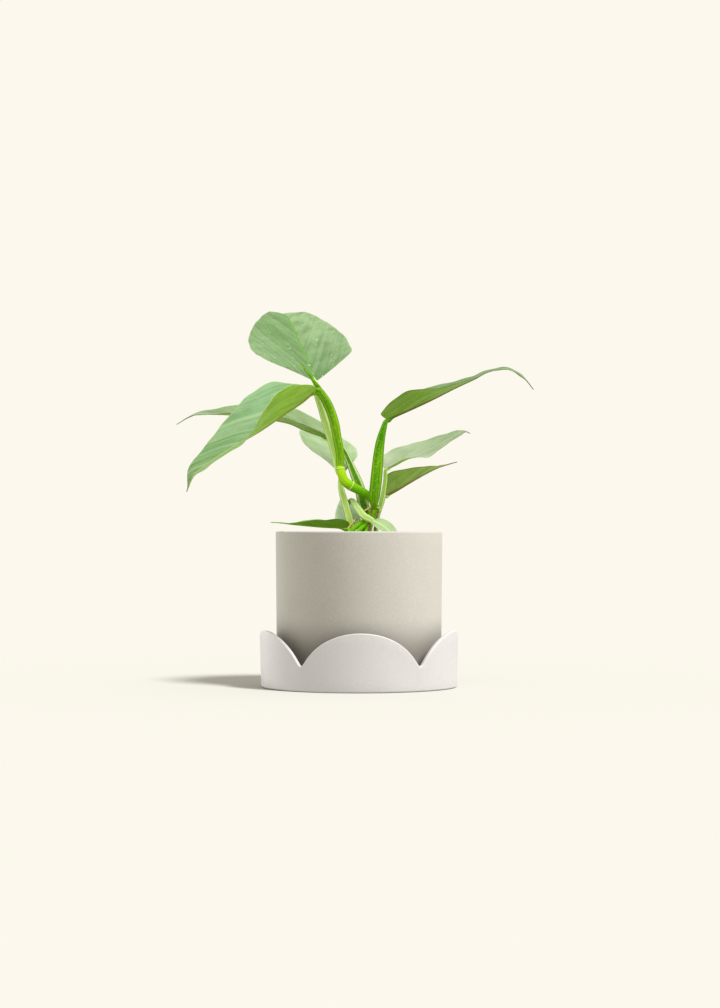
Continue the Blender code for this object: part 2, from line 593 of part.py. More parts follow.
def pot():
    foot = POT_FOOT_HEIGHT
    floor = foot + POT_FLOOR
    profile = [
        (DRAIN_RADIUS, foot + FOOT_RING_HEIGHT),
        (POT_FOOT_RADIUS - FOOT_RING_WIDTH - FOOT_RING_HEIGHT, foot + FOOT_RING_HEIGHT),
        (POT_FOOT_RADIUS - FOOT_RING_WIDTH, foot),
        (POT_FOOT_RADIUS - EDGE_ROUNDING, foot),
        (POT_FOOT_RADIUS, foot + EDGE_ROUNDING),
        (POT_RIM_RADIUS, POT_RIM_HEIGHT - EDGE_ROUNDING),
        (POT_RIM_RADIUS - 0.3 * EDGE_ROUNDING, POT_RIM_HEIGHT - 0.3 * EDGE_ROUNDING),
        (POT_RIM_RADIUS - EDGE_ROUNDING, POT_RIM_HEIGHT),
        (pot_inner_radius(POT_RIM_HEIGHT) + EDGE_ROUNDING, POT_RIM_HEIGHT),
        (pot_inner_radius(POT_RIM_HEIGHT), POT_RIM_HEIGHT - EDGE_ROUNDING),
        (pot_inner_radius(floor + FLOOR_CORNER), floor + FLOOR_CORNER),
        (pot_inner_radius(floor) - FLOOR_CORNER, floor),
        (DRAIN_RADIUS, floor),
    ]
    return turned("pot", profile, POT_SIDES, MATT_GLAZE)


def soil(stalks):
    """Soil fills the pot, with a plain hole round each stalk that stands in it."""
    bottom = POT_FOOT_HEIGHT + POT_FLOOR + GAP
    profile = [
        (pot_inner_radius(bottom) - FLOOR_CORNER - 2 * GAP, bottom),
        (pot_inner_radius(bottom + FLOOR_CORNER) - 2 * GAP, bottom + FLOOR_CORNER),
        (pot_inner_radius(SOIL_TOP) - GAP, SOIL_TOP),
    ]
    mesh = bmesh.new()
    angles = [2 * math.pi * i / POT_SIDES for i in range(POT_SIDES)]
    loft(mesh, [np.array([(r * math.cos(a), r * math.sin(a), z) for a in angles]) for r, z in profile])
    body = new_object("soil", mesh, POTTING_SOIL)
    holes = bmesh.new()
    for points in stalks:
        x, y, z, radius = points[0][:4]
        made = bmesh.ops.create_cone(
            holes,
            cap_ends=True,
            segments=16,
            radius1=(radius + HOLE_CLEARANCE) * MM / math.cos(math.pi / 16),
            radius2=(radius + HOLE_CLEARANCE) * MM / math.cos(math.pi / 16),
            depth=2 * (ROOTED_DEPTH + HOLE_CLEARANCE) * MM,
        )
        bmesh.ops.translate(holes, verts=made["verts"], vec=(x * MM, y * MM, z * MM))
    cutter = new_object("soil_holes", holes)
    cutter.hide_render = True
    cutter.display_type = "WIRE"
    cut = body.modifiers.new("holes", "BOOLEAN")
    cut.operation = "DIFFERENCE"
    cut.object = cutter
    return body


def rooted(points):
    """The stalk with its foot carried straight down into its hole."""
    x, y, z = points[0][:3]
    foot = (x, y, ROOTED_HEIGHT, *points[0][3:])
    return [foot, *points] if z == SOIL_TOP else points


def stalk(name, points, look=STALK_GREEN, spacing=4.0, sides=10):
    mesh = bmesh.new()
    loft(mesh, stalk_rings(rooted(points), spacing, sides))
    return new_object(name, mesh, PIECE_LOOKS.get(name, look), points[0])


def stem():
    """The main stem, with its foot's sheaths joined to it."""
    body = stalk("stem", STEM)
    sheaths = bpy.data.collections.new("stem_sheaths")
    bpy.context.scene.collection.children.link(sheaths)
    for number, points in enumerate(SHEATHS):
        piece = stalk(f"stem_sheath_{number + 1}", points)
        bpy.context.scene.collection.objects.unlink(piece)
        sheaths.objects.link(piece)
        piece.hide_render = True
        piece.display_type = "WIRE"
    union = body.modifiers.new("sheaths", "BOOLEAN")
    union.operation = "UNION"
    union.operand_type = "COLLECTION"
    union.collection = sheaths
    return body


def blade(name, leaf):
    """The blade's middle surface in triangles, thickened by the same amount to both faces."""
    grid = blade_grid(leaf)
    mesh = bmesh.new()
    made = [[mesh.verts.new(point * MM) for point in row] for row in grid]
    middle = grid.shape[1] // 2
    for low, high in zip(made, made[1:]):
        for i in range(len(low) - 1):
            a, b, c, d = low[i], low[i + 1], high[i + 1], high[i]
            if i < middle:
                mesh.faces.new((a, b, c))
                mesh.faces.new((a, c, d))
            else:
                mesh.faces.new((a, b, d))
                mesh.faces.new((b, c, d))
    thing = new_object(name, mesh, PIECE_LOOKS.get(name, LEAF_GREEN), leaf["midrib"][0])
    thicken = thing.modifiers.new("thickness", "SOLIDIFY")
    thicken.thickness = BLADE_THICKNESS * MM
    thicken.offset = 0
    return thing


def main():
    for thing in list(bpy.data.objects):
        bpy.data.objects.remove(thing)
    stalks = [STEM, *SHEATHS, *PETIOLES.values(), *ROOTS.values()]
    pieces = [
        saucer(),
        pot(),
        soil([points for points in stalks if points[0][2] == SOIL_TOP]),
        stem(),
        stalk("spear", SPEAR),
    ]
    for place, points in PETIOLES.items():
        pieces.append(stalk(f"petiole_{place}", points))
    for place, leaf in LEAVES.items():
        pieces.append(blade(f"leaf_{place}", leaf))
    for place, points in ROOTS.items():
        pieces.append(stalk(f"root_{place}", points, ROOT_BROWN, spacing=3.5, sides=7))
    whole = bpy.data.objects.new("potted_philodendron", None)
    bpy.context.scene.collection.objects.link(whole)
    for piece in pieces:
        piece.parent = whole


main()
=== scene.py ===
"""The looks of a potted philodendron hastatum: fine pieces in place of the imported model's plain solids.

Tables are in millimetres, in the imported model's frame: the origin is on the pot's axis at the saucer's
underside, +Z is up, and the plant's best side faces -Y.
"""

import itertools
import math

import bpy
import numpy as np
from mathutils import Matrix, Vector, noise


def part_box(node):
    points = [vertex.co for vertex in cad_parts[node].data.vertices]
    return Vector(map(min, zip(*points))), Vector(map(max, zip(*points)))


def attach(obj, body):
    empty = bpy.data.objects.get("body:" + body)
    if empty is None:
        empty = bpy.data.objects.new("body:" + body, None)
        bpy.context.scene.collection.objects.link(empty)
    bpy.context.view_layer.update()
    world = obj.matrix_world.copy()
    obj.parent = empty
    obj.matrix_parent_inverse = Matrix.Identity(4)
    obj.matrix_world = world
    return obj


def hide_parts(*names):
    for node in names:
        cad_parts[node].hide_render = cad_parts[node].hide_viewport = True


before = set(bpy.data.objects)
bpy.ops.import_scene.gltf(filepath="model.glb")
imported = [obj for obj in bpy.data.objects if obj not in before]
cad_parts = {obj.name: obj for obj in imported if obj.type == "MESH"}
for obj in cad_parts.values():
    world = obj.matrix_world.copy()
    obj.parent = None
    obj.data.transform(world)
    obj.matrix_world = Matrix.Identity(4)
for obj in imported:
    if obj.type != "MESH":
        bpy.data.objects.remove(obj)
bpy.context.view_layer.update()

bl_info = {
    "name": "Potted Philodendron",
    "version": (1, 0, 0),
    "blender": (4, 5, 0),
    "location": "3D View > Sidebar > Plant",
    "description": "Builds a young philodendron in a matt stoneware pot on a scalloped saucer",
    "category": "Add Mesh",
}

MM = 0.001
BODY = "root"
SEED = 7

POT_LOW, POT_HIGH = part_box("pot")
SAUCER_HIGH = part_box("saucer")[1]
SOIL_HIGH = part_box("soil")[1]

SCALLOPS = 5
# The front scallop's middle stands at this angle round the axis.
SCALLOP_TURN = math.radians(-88.9)
# A scallop is an arc whose radius is this many times half its width.
SCALLOP_FULLNESS = 1.035
# A valley is rounded over this share of half a scallop's width.
VALLEY_ROUNDING = 0.05
# The pot's and the saucer's feet are this much less in radius than their rims, in metres.
TAPER = 1 * MM
# Radii of the rounded edges, in mm. The saucer's rim is flat between its two.
RIM_ROUNDING = 0.8
FOOT_ROUNDING = 1.2
SAUCER_CORNER = 3.0
POT_OUTER_ROUNDING = 1.3
POT_LIP_ROUNDING = 1.2
POT_CORNER = 3.0

# The soil's humps are about so wide and so high, in mm.
SOIL_WAVE = 6
SOIL_ROUGHNESS = 0.9

# A blade is so wide on each side of its midrib where its stalk meets it, and its margin's own colour is so
# wide, in mm.
BLADE_FOOT = 2.0
MARGIN_LINE = 0.5
# A margin waves over these lengths, and the blade swells by up to so much, in mm.
LONG_WAVE = 34
SHORT_WAVE = 15
SWELL = 0.25
# Side veins go forward by so much for each mm that they go out, and by so much more at the margin.
VEIN_SLANT = 1.6
VEIN_BEND = 1.2

# A stalk's wings stand at this share of a turn from its front. Its channel and wings are so wide, in
# radians, and the wings so high, as a share of the channel's depth.
WING_PLACE = 0.12
CHANNEL_WIDTH = 0.45
WING_WIDTH = 0.2
WING_HEIGHT = 0.3
# So many rings of points round each end of a stalk, and the last is this share of its full size.
CAP_RINGS = 5
TIP_SIZE = 0.05

# An aerial root's rings of points stand so far apart, in mm, and its skin is rough by this share.
ROOT_SPACING = 0.6
ROOT_ROUGHNESS = 0.25

BLACK = (0.0, 0.0, 0.0, 1.0)
WHITE = (1.0, 1.0, 1.0, 1.0)
# The names of the pieces that are lit as the plant start so.
PLANT_PARTS = ("blade", "petiole", "stem", "spear", "root", "soil")
# The camera stands so far to the right of the axis, in mm, and looks up by so many degrees.
CAMERA_ASIDE = 0.7
CAMERA_RISE = 0.677
# The floor reaches so far, in metres, and lies so far under the saucer, in mm.
FLOOR_REACH = 30.0
FLOOR_GAP = 0.2

# Outlines of half a blade: (share of its length, share of its half width) from the stalk to the tip
NARROW_TIP = [
    (0.33, 0.95), (0.48, 0.76), (0.62, 0.5), (0.74, 0.27), (0.84, 0.14), (0.93, 0.07), (1, 0.012),
]
BROAD_START = [
    (0, 0.03), (0.002, 0.16), (0.03, 0.38), (0.09, 0.66), (0.18, 0.92), (0.3, 1.01), (0.43, 0.98),
    (0.56, 0.86),
]
BROAD_TIP = [(0.68, 0.68), (0.78, 0.5), (0.87, 0.31), (0.925, 0.12), (0.96, 0.05), (1, 0.012)]
OUTLINES = {
    "lance": [
        (0, 0.03), (-0.012, 0.26), (-0.014, 0.48), (0.025, 0.68), (0.095, 0.9), (0.19, 1),
        *NARROW_TIP,
    ],
    "wedge": [(0, 0.03), (0.025, 0.25), (0.06, 0.5), (0.1, 0.75), (0.14, 0.93), (0.21, 1), *NARROW_TIP],
    "tailed": [
        (0, 0.03), (0, 0.26), (0.012, 0.5), (0.04, 0.73), (0.1, 0.92), (0.2, 1), (0.35, 0.97),
        (0.5, 0.85), (0.62, 0.68), (0.72, 0.48), (0.8, 0.28), (0.86, 0.12), (0.92, 0.05), (1, 0.012),
    ],
    "broad": [*BROAD_START, *BROAD_TIP],
    "blunt": [
        *BROAD_START,
        (0.68, 0.72), (0.78, 0.61), (0.87, 0.45), (0.925, 0.22), (0.96, 0.08), (1, 0.012),
    ],
    "spade": [
        (0, 0.03), (0.002, 0.12), (0.03, 0.26), (0.09, 0.54), (0.18, 0.88), (0.3, 1.01), (0.43, 0.98),
        (0.56, 0.86),
        *BROAD_TIP,
    ],
    "lobed": [
        (0, 0.03), (-0.03, 0.3), (-0.04, 0.6), (-0.01, 0.85), (0.05, 0.98), (0.16, 1.02), (0.3, 1),
        (0.43, 0.93), (0.56, 0.8), (0.68, 0.63), (0.78, 0.45), (0.87, 0.27), (0.925, 0.11), (0.96, 0.05),
        (1, 0.03),
    ],
    "stepped": [
        (0, 0.03), (0.012, 0.25), (0.03, 0.5), (0.055, 0.75), (0.09, 0.93), (0.17, 1.01), (0.3, 0.96),
        (0.48, 0.73), (0.62, 0.47), (0.74, 0.26), (0.84, 0.14), (0.93, 0.07), (1, 0.012),
    ],
    "bent": [
        (0, 0.03), (0, 0.25), (0.02, 0.55), (0.07, 0.87), (0.16, 1.08), (0.29, 1.1), (0.42, 0.96),
        (0.56, 0.71), (0.68, 0.53), (0.78, 0.42), (0.87, 0.34), (0.925, 0.2), (0.96, 0.08), (1, 0.03),
    ],
    "full": [
        (0, 0.03), (0, 0.25), (0.02, 0.55), (0.07, 0.85), (0.16, 1.03), (0.29, 1.06), (0.42, 0.95),
        (0.56, 0.77), (0.68, 0.59), (0.78, 0.45), (0.87, 0.31), (0.925, 0.15), (0.96, 0.06), (1, 0.012),
    ],
    "arrow": [
        (0, 0.03), (0.01, 0.22), (0.03, 0.5), (0.05, 0.78), (0.075, 0.95), (0.13, 1.02), (0.24, 1.05),
        (0.4, 0.98), (0.56, 0.8), (0.72, 0.53), (0.85, 0.25), (0.93, 0.09), (1, 0.012),
    ],
    "cornered": [
        (0, 0.03), (0, 0.3), (0.01, 0.65), (0.04, 0.93), (0.085, 1), (0.16, 0.99), (0.3, 0.97),
        (0.45, 0.88), (0.6, 0.72), (0.75, 0.5), (0.86, 0.26), (0.93, 0.1), (1, 0.012),
    ],
    "heart": [
        (0, 0.04), (-0.02, 0.22), (-0.022, 0.48), (0.03, 0.78), (0.13, 0.96), (0.27, 1), (0.45, 0.88),
        (0.63, 0.62), (0.78, 0.34), (0.88, 0.13), (0.94, 0.045), (1, 0.012),
    ],
}

# Each blade as in the solids: the midrib's points from base to tip, the half widths and outlines of its
# left and right halves, and how it lies. "roll" is the angle in degrees that the upper face turns towards
# -Y, and "face" is the direction that it looks in. "fold" is how far each half bends up from flat, and
# "curl" how much further it has bent at its margin. Keys are (place along the blade, value). "keel" is the
# depth of the midrib under the blade, and "grid" how many rows and columns each half is divided into.
#
# The rest are the looks. Shares run from about 0 to 1, as pairs for the base and the tip where they change.
# "bloom" is the pale wax on each half's upper face, and "tint" a colour that it leans to, with its shares.
# On some blades they also hold painted light: a leaf or half that lies in shade gets more of them, so that
# it looks lit.
# "bands" are pale bands, "mottle" dark patches, "veins" the side veins, "pale_margin" a paling away from
# the midrib and "specks" small pale dots. "deep" is how dark the underside is, "under_tint" its tint and
# share, and "dry" how brown the tip has turned. "rib", "keel_colour" and "edges" are the colours of the
# midrib above and below and of each margin.
LEAVES = {
    "front_left": {
        "midrib": [
            (-31, -10, 213), (-40, -13, 204.5), (-53, -16, 195.5), (-69, -20, 184), (-84.5, -23, 174.5),
            (-100.5, -26, 164.5), (-111.6, -28, 156.2), (-116.4, -29, 152), (-119.2, -29.5, 147),
            (-122, -30, 139.5),
        ],
        "half_width": (36, 36),
        "outline": ["blunt", "full"],
        "roll": [(0, 3), (0.1, 4), (0.18, 6), (0.28, 12), (0.38, 18), (0.53, 25), (0.8, 24), (1, 20)],
        "fold": [
            [(0, 21), (0.18, 30), (0.28, 34), (0.38, 32), (0.53, 23), (0.62, 18), (1, 15)],
            [(0, 36), (0.1, 42), (0.18, 41), (0.28, 35), (0.38, 31), (0.53, 24), (0.62, 18), (1, 15)],
        ],
        "curl": [[(0, 0), (1, 0)]] * 2,
        "keel": 0.9,
        "grid": (180, 30),
        "bloom": [(0.45, -0.1), (0.95, -0.1)],
        "tint": [("#86B840", 0.35, 0.5), ("#8EC6AA", 0.6, 0)],
        "bands": 0.4,
        "deep": (0, 0.15),
        "dry": 0.5,
        "rib": "#A9CF6A",
        "keel_colour": "#8A8A34",
        "edges": [("#C9DC9A", "#A58A4A"), ("#A9C98E", "#B9CF8A")],
    },
    "upper": {
        "midrib": [
            (-31.5, 0, 220), (-37.5, 24, 235.5), (-44.5, 50, 252), (-51.5, 76, 268.5), (-58, 98, 277.5),
            (-66, 118, 277.3),
        ],
        "half_width": (41, 33.5),
        "outline": ["arrow", "cornered"],
        "face": [(0, (0.1, -0.5, 0.8)), (0.5, (0, -0.4, 1)), (1, (0, 0.3, 1))],
        "fold": [[(0, 26), (0.5, 13), (1, 5)], [(0, 44), (0.5, 20), (1, 14)]],
        "curl": [[(0, -8), (0.5, -12), (1, -10)]] * 2,
        "keel": 1,
        "grid": (180, 30),
        "bloom": [(-0.15, -0.15), (-0.15, 0.7)],
        "tint": [("#7FA88C", 0.25, 0.1)] * 2,
        "mottle": 0.6,
        "veins": 0.1,
        "pale_margin": 0.2,
        "specks": 0.5,
        "deep": (0.2, 0.2),
        "dry": 0.1,
        "rib": "#629C34",
        "keel_colour": "#A8C870",
        "edges": [("#8FAE74", "#8FAE74"), ("#9DB982", "#B9CFA0")],
    },
    "right_upper": {
        "midrib": [
            (20.5, -2, 192), (27.5, -3, 195), (36.5, -4, 198.9), (51, -5.5, 205.5), (69, -7, 214.5),
            (83, -8.5, 221), (91.5, -9.5, 225.5), (99, -10, 227.5), (105, -10.5, 228), (111.5, -11, 226),
            (118.5, -11.5, 221), (125, -12, 213),
        ],
        "half_width": (26, 26),
        "outline": ["lance"] * 2,
        "roll": [(0, -3), (0.23, -1), (0.34, 3), (0.64, 4), (0.74, 14), (0.85, 18), (1, 12)],
        "fold": [
            [(0, 25), (0.12, 27), (0.23, 26), (0.34, 21), (0.46, 13), (0.58, 5), (1, 2)],
            [(0, 25), (0.12, 27), (0.23, 26), (0.34, 17), (0.46, 7), (0.58, 6), (0.7, 5), (1, 2)],
        ],
        "curl": [[(0, -2), (1, 0)]] * 2,
        "keel": 0.8,
        "grid": (180, 26),
        "bloom": [(-0.15, 0.05), (-0.15, -0.2)],
        "tint": [("#5A7F40", 0, 0), ("#4A5F22", 0, 0.7)],
        "deep": (0.75, 0.85),
        "dry": 0.9,
        "rib": "#C8DFA6",
        "keel_colour": "#4A3216",
        "edges": [("#A9C08A", "#A9B98A"), ("#5C7A2E", "#4C5A1E")],
    },
    "back_left": {
        "midrib": [
            (-23.5, 12, 180), (-30.5, 13.5, 182), (-40, 16, 185.5), (-50, 18, 190), (-63.5, 21, 193),
            (-79.5, 24, 195.5), (-96, 26, 197), (-109, 28, 197.5), (-118.5, 29, 197.5),
            (-125.5, 29.5, 195), (-134, 30, 190),
        ],
        "half_width": (19, 19),
        "outline": ["tailed"] * 2,
        "roll": [(0, 9), (0.2, 13), (0.5, 15), (0.75, 16), (1, 10)],
        "fold": [
            [(0, 21), (0.2, 23), (0.5, 17), (0.7, 15), (1, 10)],
            [(0, 31), (0.2, 27), (0.5, 25), (0.7, 27), (1, 12)],
        ],
        "curl": [[(0, -2), (1, 0)]] * 2,
        "keel": 0.8,
        "grid": (180, 24),
        "bloom": [(1.05, -0.05), (1.05, 0)],
        "tint": [("#B4BD9A", 0.5, 0.2)] * 2,
        "deep": (0.9, 1.1),
        "dry": 0.5,
        "rib": "#DCE8C6",
        "keel_colour": "#5C6B2C",
        "edges": [("#6C6A38", "#5C5A30"), ("#D5DFC0", "#A9B48A")],
    },
    "centre_back": {
        "midrib": [
            (-12.5, 10.5, 154.2), (-15.5, 19, 161.7), (-20, 30.5, 170.2), (-24.5, 44, 178.2),
            (-30, 58, 185.2), (-37, 70, 190.2), (-42.8, 80, 190.5),
        ],
        "half_width": (24, 18.3),
        "outline": ["broad", "spade"],
        "face": [(0, (0.35, -0.7, 0.7)), (0.5, (0.3, -0.5, 1)), (1, (0, 0.3, 1))],
        "fold": [[(0, 26), (0.5, 14), (1, 5)], [(0, 30), (0.5, 12), (1, 5)]],
        "curl": [[(0, -10), (1, -10)]] * 2,
        "keel": 0.8,
        "grid": (120, 24),
        # Painted light: the left half has more bloom and tint than the right, to pale a half that lies in
        # shade.
        "bloom": [(1, 1), (0.9, 0.85)],
        "tint": [("#CCD8BE", 0.6, 0.6), ("#CCD8BE", 0.4, 0.4)],
        "deep": (0.2, 0.2),
        "dry": 0.2,
        "rib": "#9CC07A",
        "keel_colour": "#9DBB66",
        "edges": [("#C7D9B2", "#C7D9B2")] * 2,
    },
    "right_middle": {
        "midrib": [
            (20, 4, 157), (26, 6, 159.5), (32.5, 8, 163), (44.5, 12, 168), (56, 15, 173.5), (66, 17, 179),
            (73.5, 19, 183.5), (77.5, 19.5, 184.5), (81, 20, 183),
        ],
        "half_width": (20, 15),
        "outline": ["lobed", "bent"],
        "roll": [(0, 17), (0.2, 20), (0.4, 27), (0.8, 27), (1, 20)],
        "fold": [[(0, 24), (0.2, 16), (0.4, 4), (1, 4)], [(0, 28), (0.2, 21), (0.4, 9), (1, 8)]],
        "curl": [[(0, -4), (1, 0)]] * 2,
        "keel": 0.7,
        "grid": (120, 22),
        "bloom": [(1.5, -0.1)] * 2,
        "tint": [("#D2D2C6", 0.85, 0.35)] * 2,
        "deep": (0.3, 0.5),
        "dry": 0.8,
        "rib": "#A9BE96",
        "keel_colour": "#7C8A3A",
        "edges": [("#DDE8CC", "#C3CFA2"), ("#C3CFA2", "#8F8346")],
    },
    "right_lower": {
        "midrib": [
            (19.5, 15, 137), (27, 17, 141), (37, 20, 147), (47.5, 23, 153), (57.5, 26, 158),
            (65, 27, 160.5), (72, 28, 162.5),
        ],
        "half_width": (17, 18),
        "outline": ["wedge", "stepped"],
        "roll": [(0, -8), (0.3, -4), (1, 0)],
        "fold": [
            [(0, 48), (0.2, 40), (0.4, 32), (0.7, 24), (1, 15)],
            [(0, 57), (0.2, 46), (0.4, 32), (0.7, 22), (1, 15)],
        ],
        "curl": [[(0, -4), (1, 0)]] * 2,
        "keel": 0.7,
        "grid": (120, 22),
        "bloom": [(0.4, 0.3)] * 2,
        "bands": 0.35,
        "deep": (0.05, 0.4),
        "under_tint": ("#A9A08C", 0.2),
        "dry": 0.9,
        "rib": "#B8D284",
        "keel_colour": "#7F6238",
        "edges": [("#5C7A2E", "#7A6A36"), ("#7A6A36", "#8A5A3A")],
    },
    "low_left": {
        "midrib": [
            (-9.5, -8, 113.7), (-15.5, -11, 114.2), (-26.5, -15, 114.7), (-38.5, -20, 115.7),
            (-49, -24, 116.7), (-56, -26, 117.7), (-62.5, -28, 118),
        ],
        "half_width": (11, 11),
        "outline": ["lance"] * 2,
        "roll": [(0, -3), (1, 5)],
        "fold": [[(0, 42), (0.5, 36), (1, 20)], [(0, 38), (0.5, 30), (1, 20)]],
        "curl": [[(0, -6), (1, 0)]] * 2,
        "keel": 0.6,
        "grid": (90, 16),
        "bloom": [(0.2, 0.2)] * 2,
        "tint": [("#4C9A02", 0.9, 0.9)] * 2,
        "deep": (0.3, 0.3),
        "under_tint": ("#3F8C00", 0.65),
        "dry": 0.8,
        "rib": "#9CC060",
        "keel_colour": "#7DB02A",
        "edges": [("#4C6A10", "#4C6A10"), ("#9CC060", "#9CC060")],
    },
    "low_back": {
        "midrib": [
            (-6.5, 15, 113.5), (-8, 17.5, 119), (-9.6, 20, 126.5), (-11.3, 23, 133.5), (-13.2, 27, 138.5),
        ],
        "half_width": (9.5, 9.5),
        "outline": ["heart"] * 2,
        "face": [(0, (0.1, -1, 0.6)), (1, (0.1, -0.6, 0.9))],
        "fold": [[(0, 14), (0.5, 8), (1, 5)]] * 2,
        "curl": [[(0, -6), (1, -6)]] * 2,
        "keel": 0.5,
        "grid": (70, 16),
        # Painted light: bloom past full and the whole tint pale this blade, which lies in shade, and its
        # left half more.
        "bloom": [(1.6, 1.5), (1.2, 1.1)],
        "tint": [("#E0EEDC", 1, 1)] * 2,
        "deep": (0.1, 0.1),
        "dry": 0.1,
        "rib": "#9CC07A",
        "keel_colour": "#9DBB66",
        "edges": [("#D5E6C4", "#D5E6C4")] * 2,
    },
    "low_right": {
        "midrib": [
            (9.5, -8, 119), (14.5, -10.5, 117), (19.5, -13, 113.5), (23.5, -16, 109.5), (28, -20, 106),
            (31, -25, 103),
        ],
        "half_width": (7.8, 8),
        "outline": ["broad"] * 2,
        "roll": [(0, 32), (1, 36)],
        "fold": [[(0, 14), (0.5, 10), (1, 5)]] * 2,
        "curl": [[(0, -6), (1, 0)]] * 2,
        "keel": 0.4,
        "grid": (70, 14),
        "bloom": [(0.75, 0.75)] * 2,
        "tint": [("#D3E6B8", 0.3, 0.3)] * 2,
        "deep": (0.1, 0.2),
        "dry": 0.4,
        "rib": "#DCE8AA",
        "keel_colour": "#B9C870",
        "edges": [("#DDE8CC", "#DDE8CC"), ("#C3CF8A", "#C3CF8A")],
    },
}

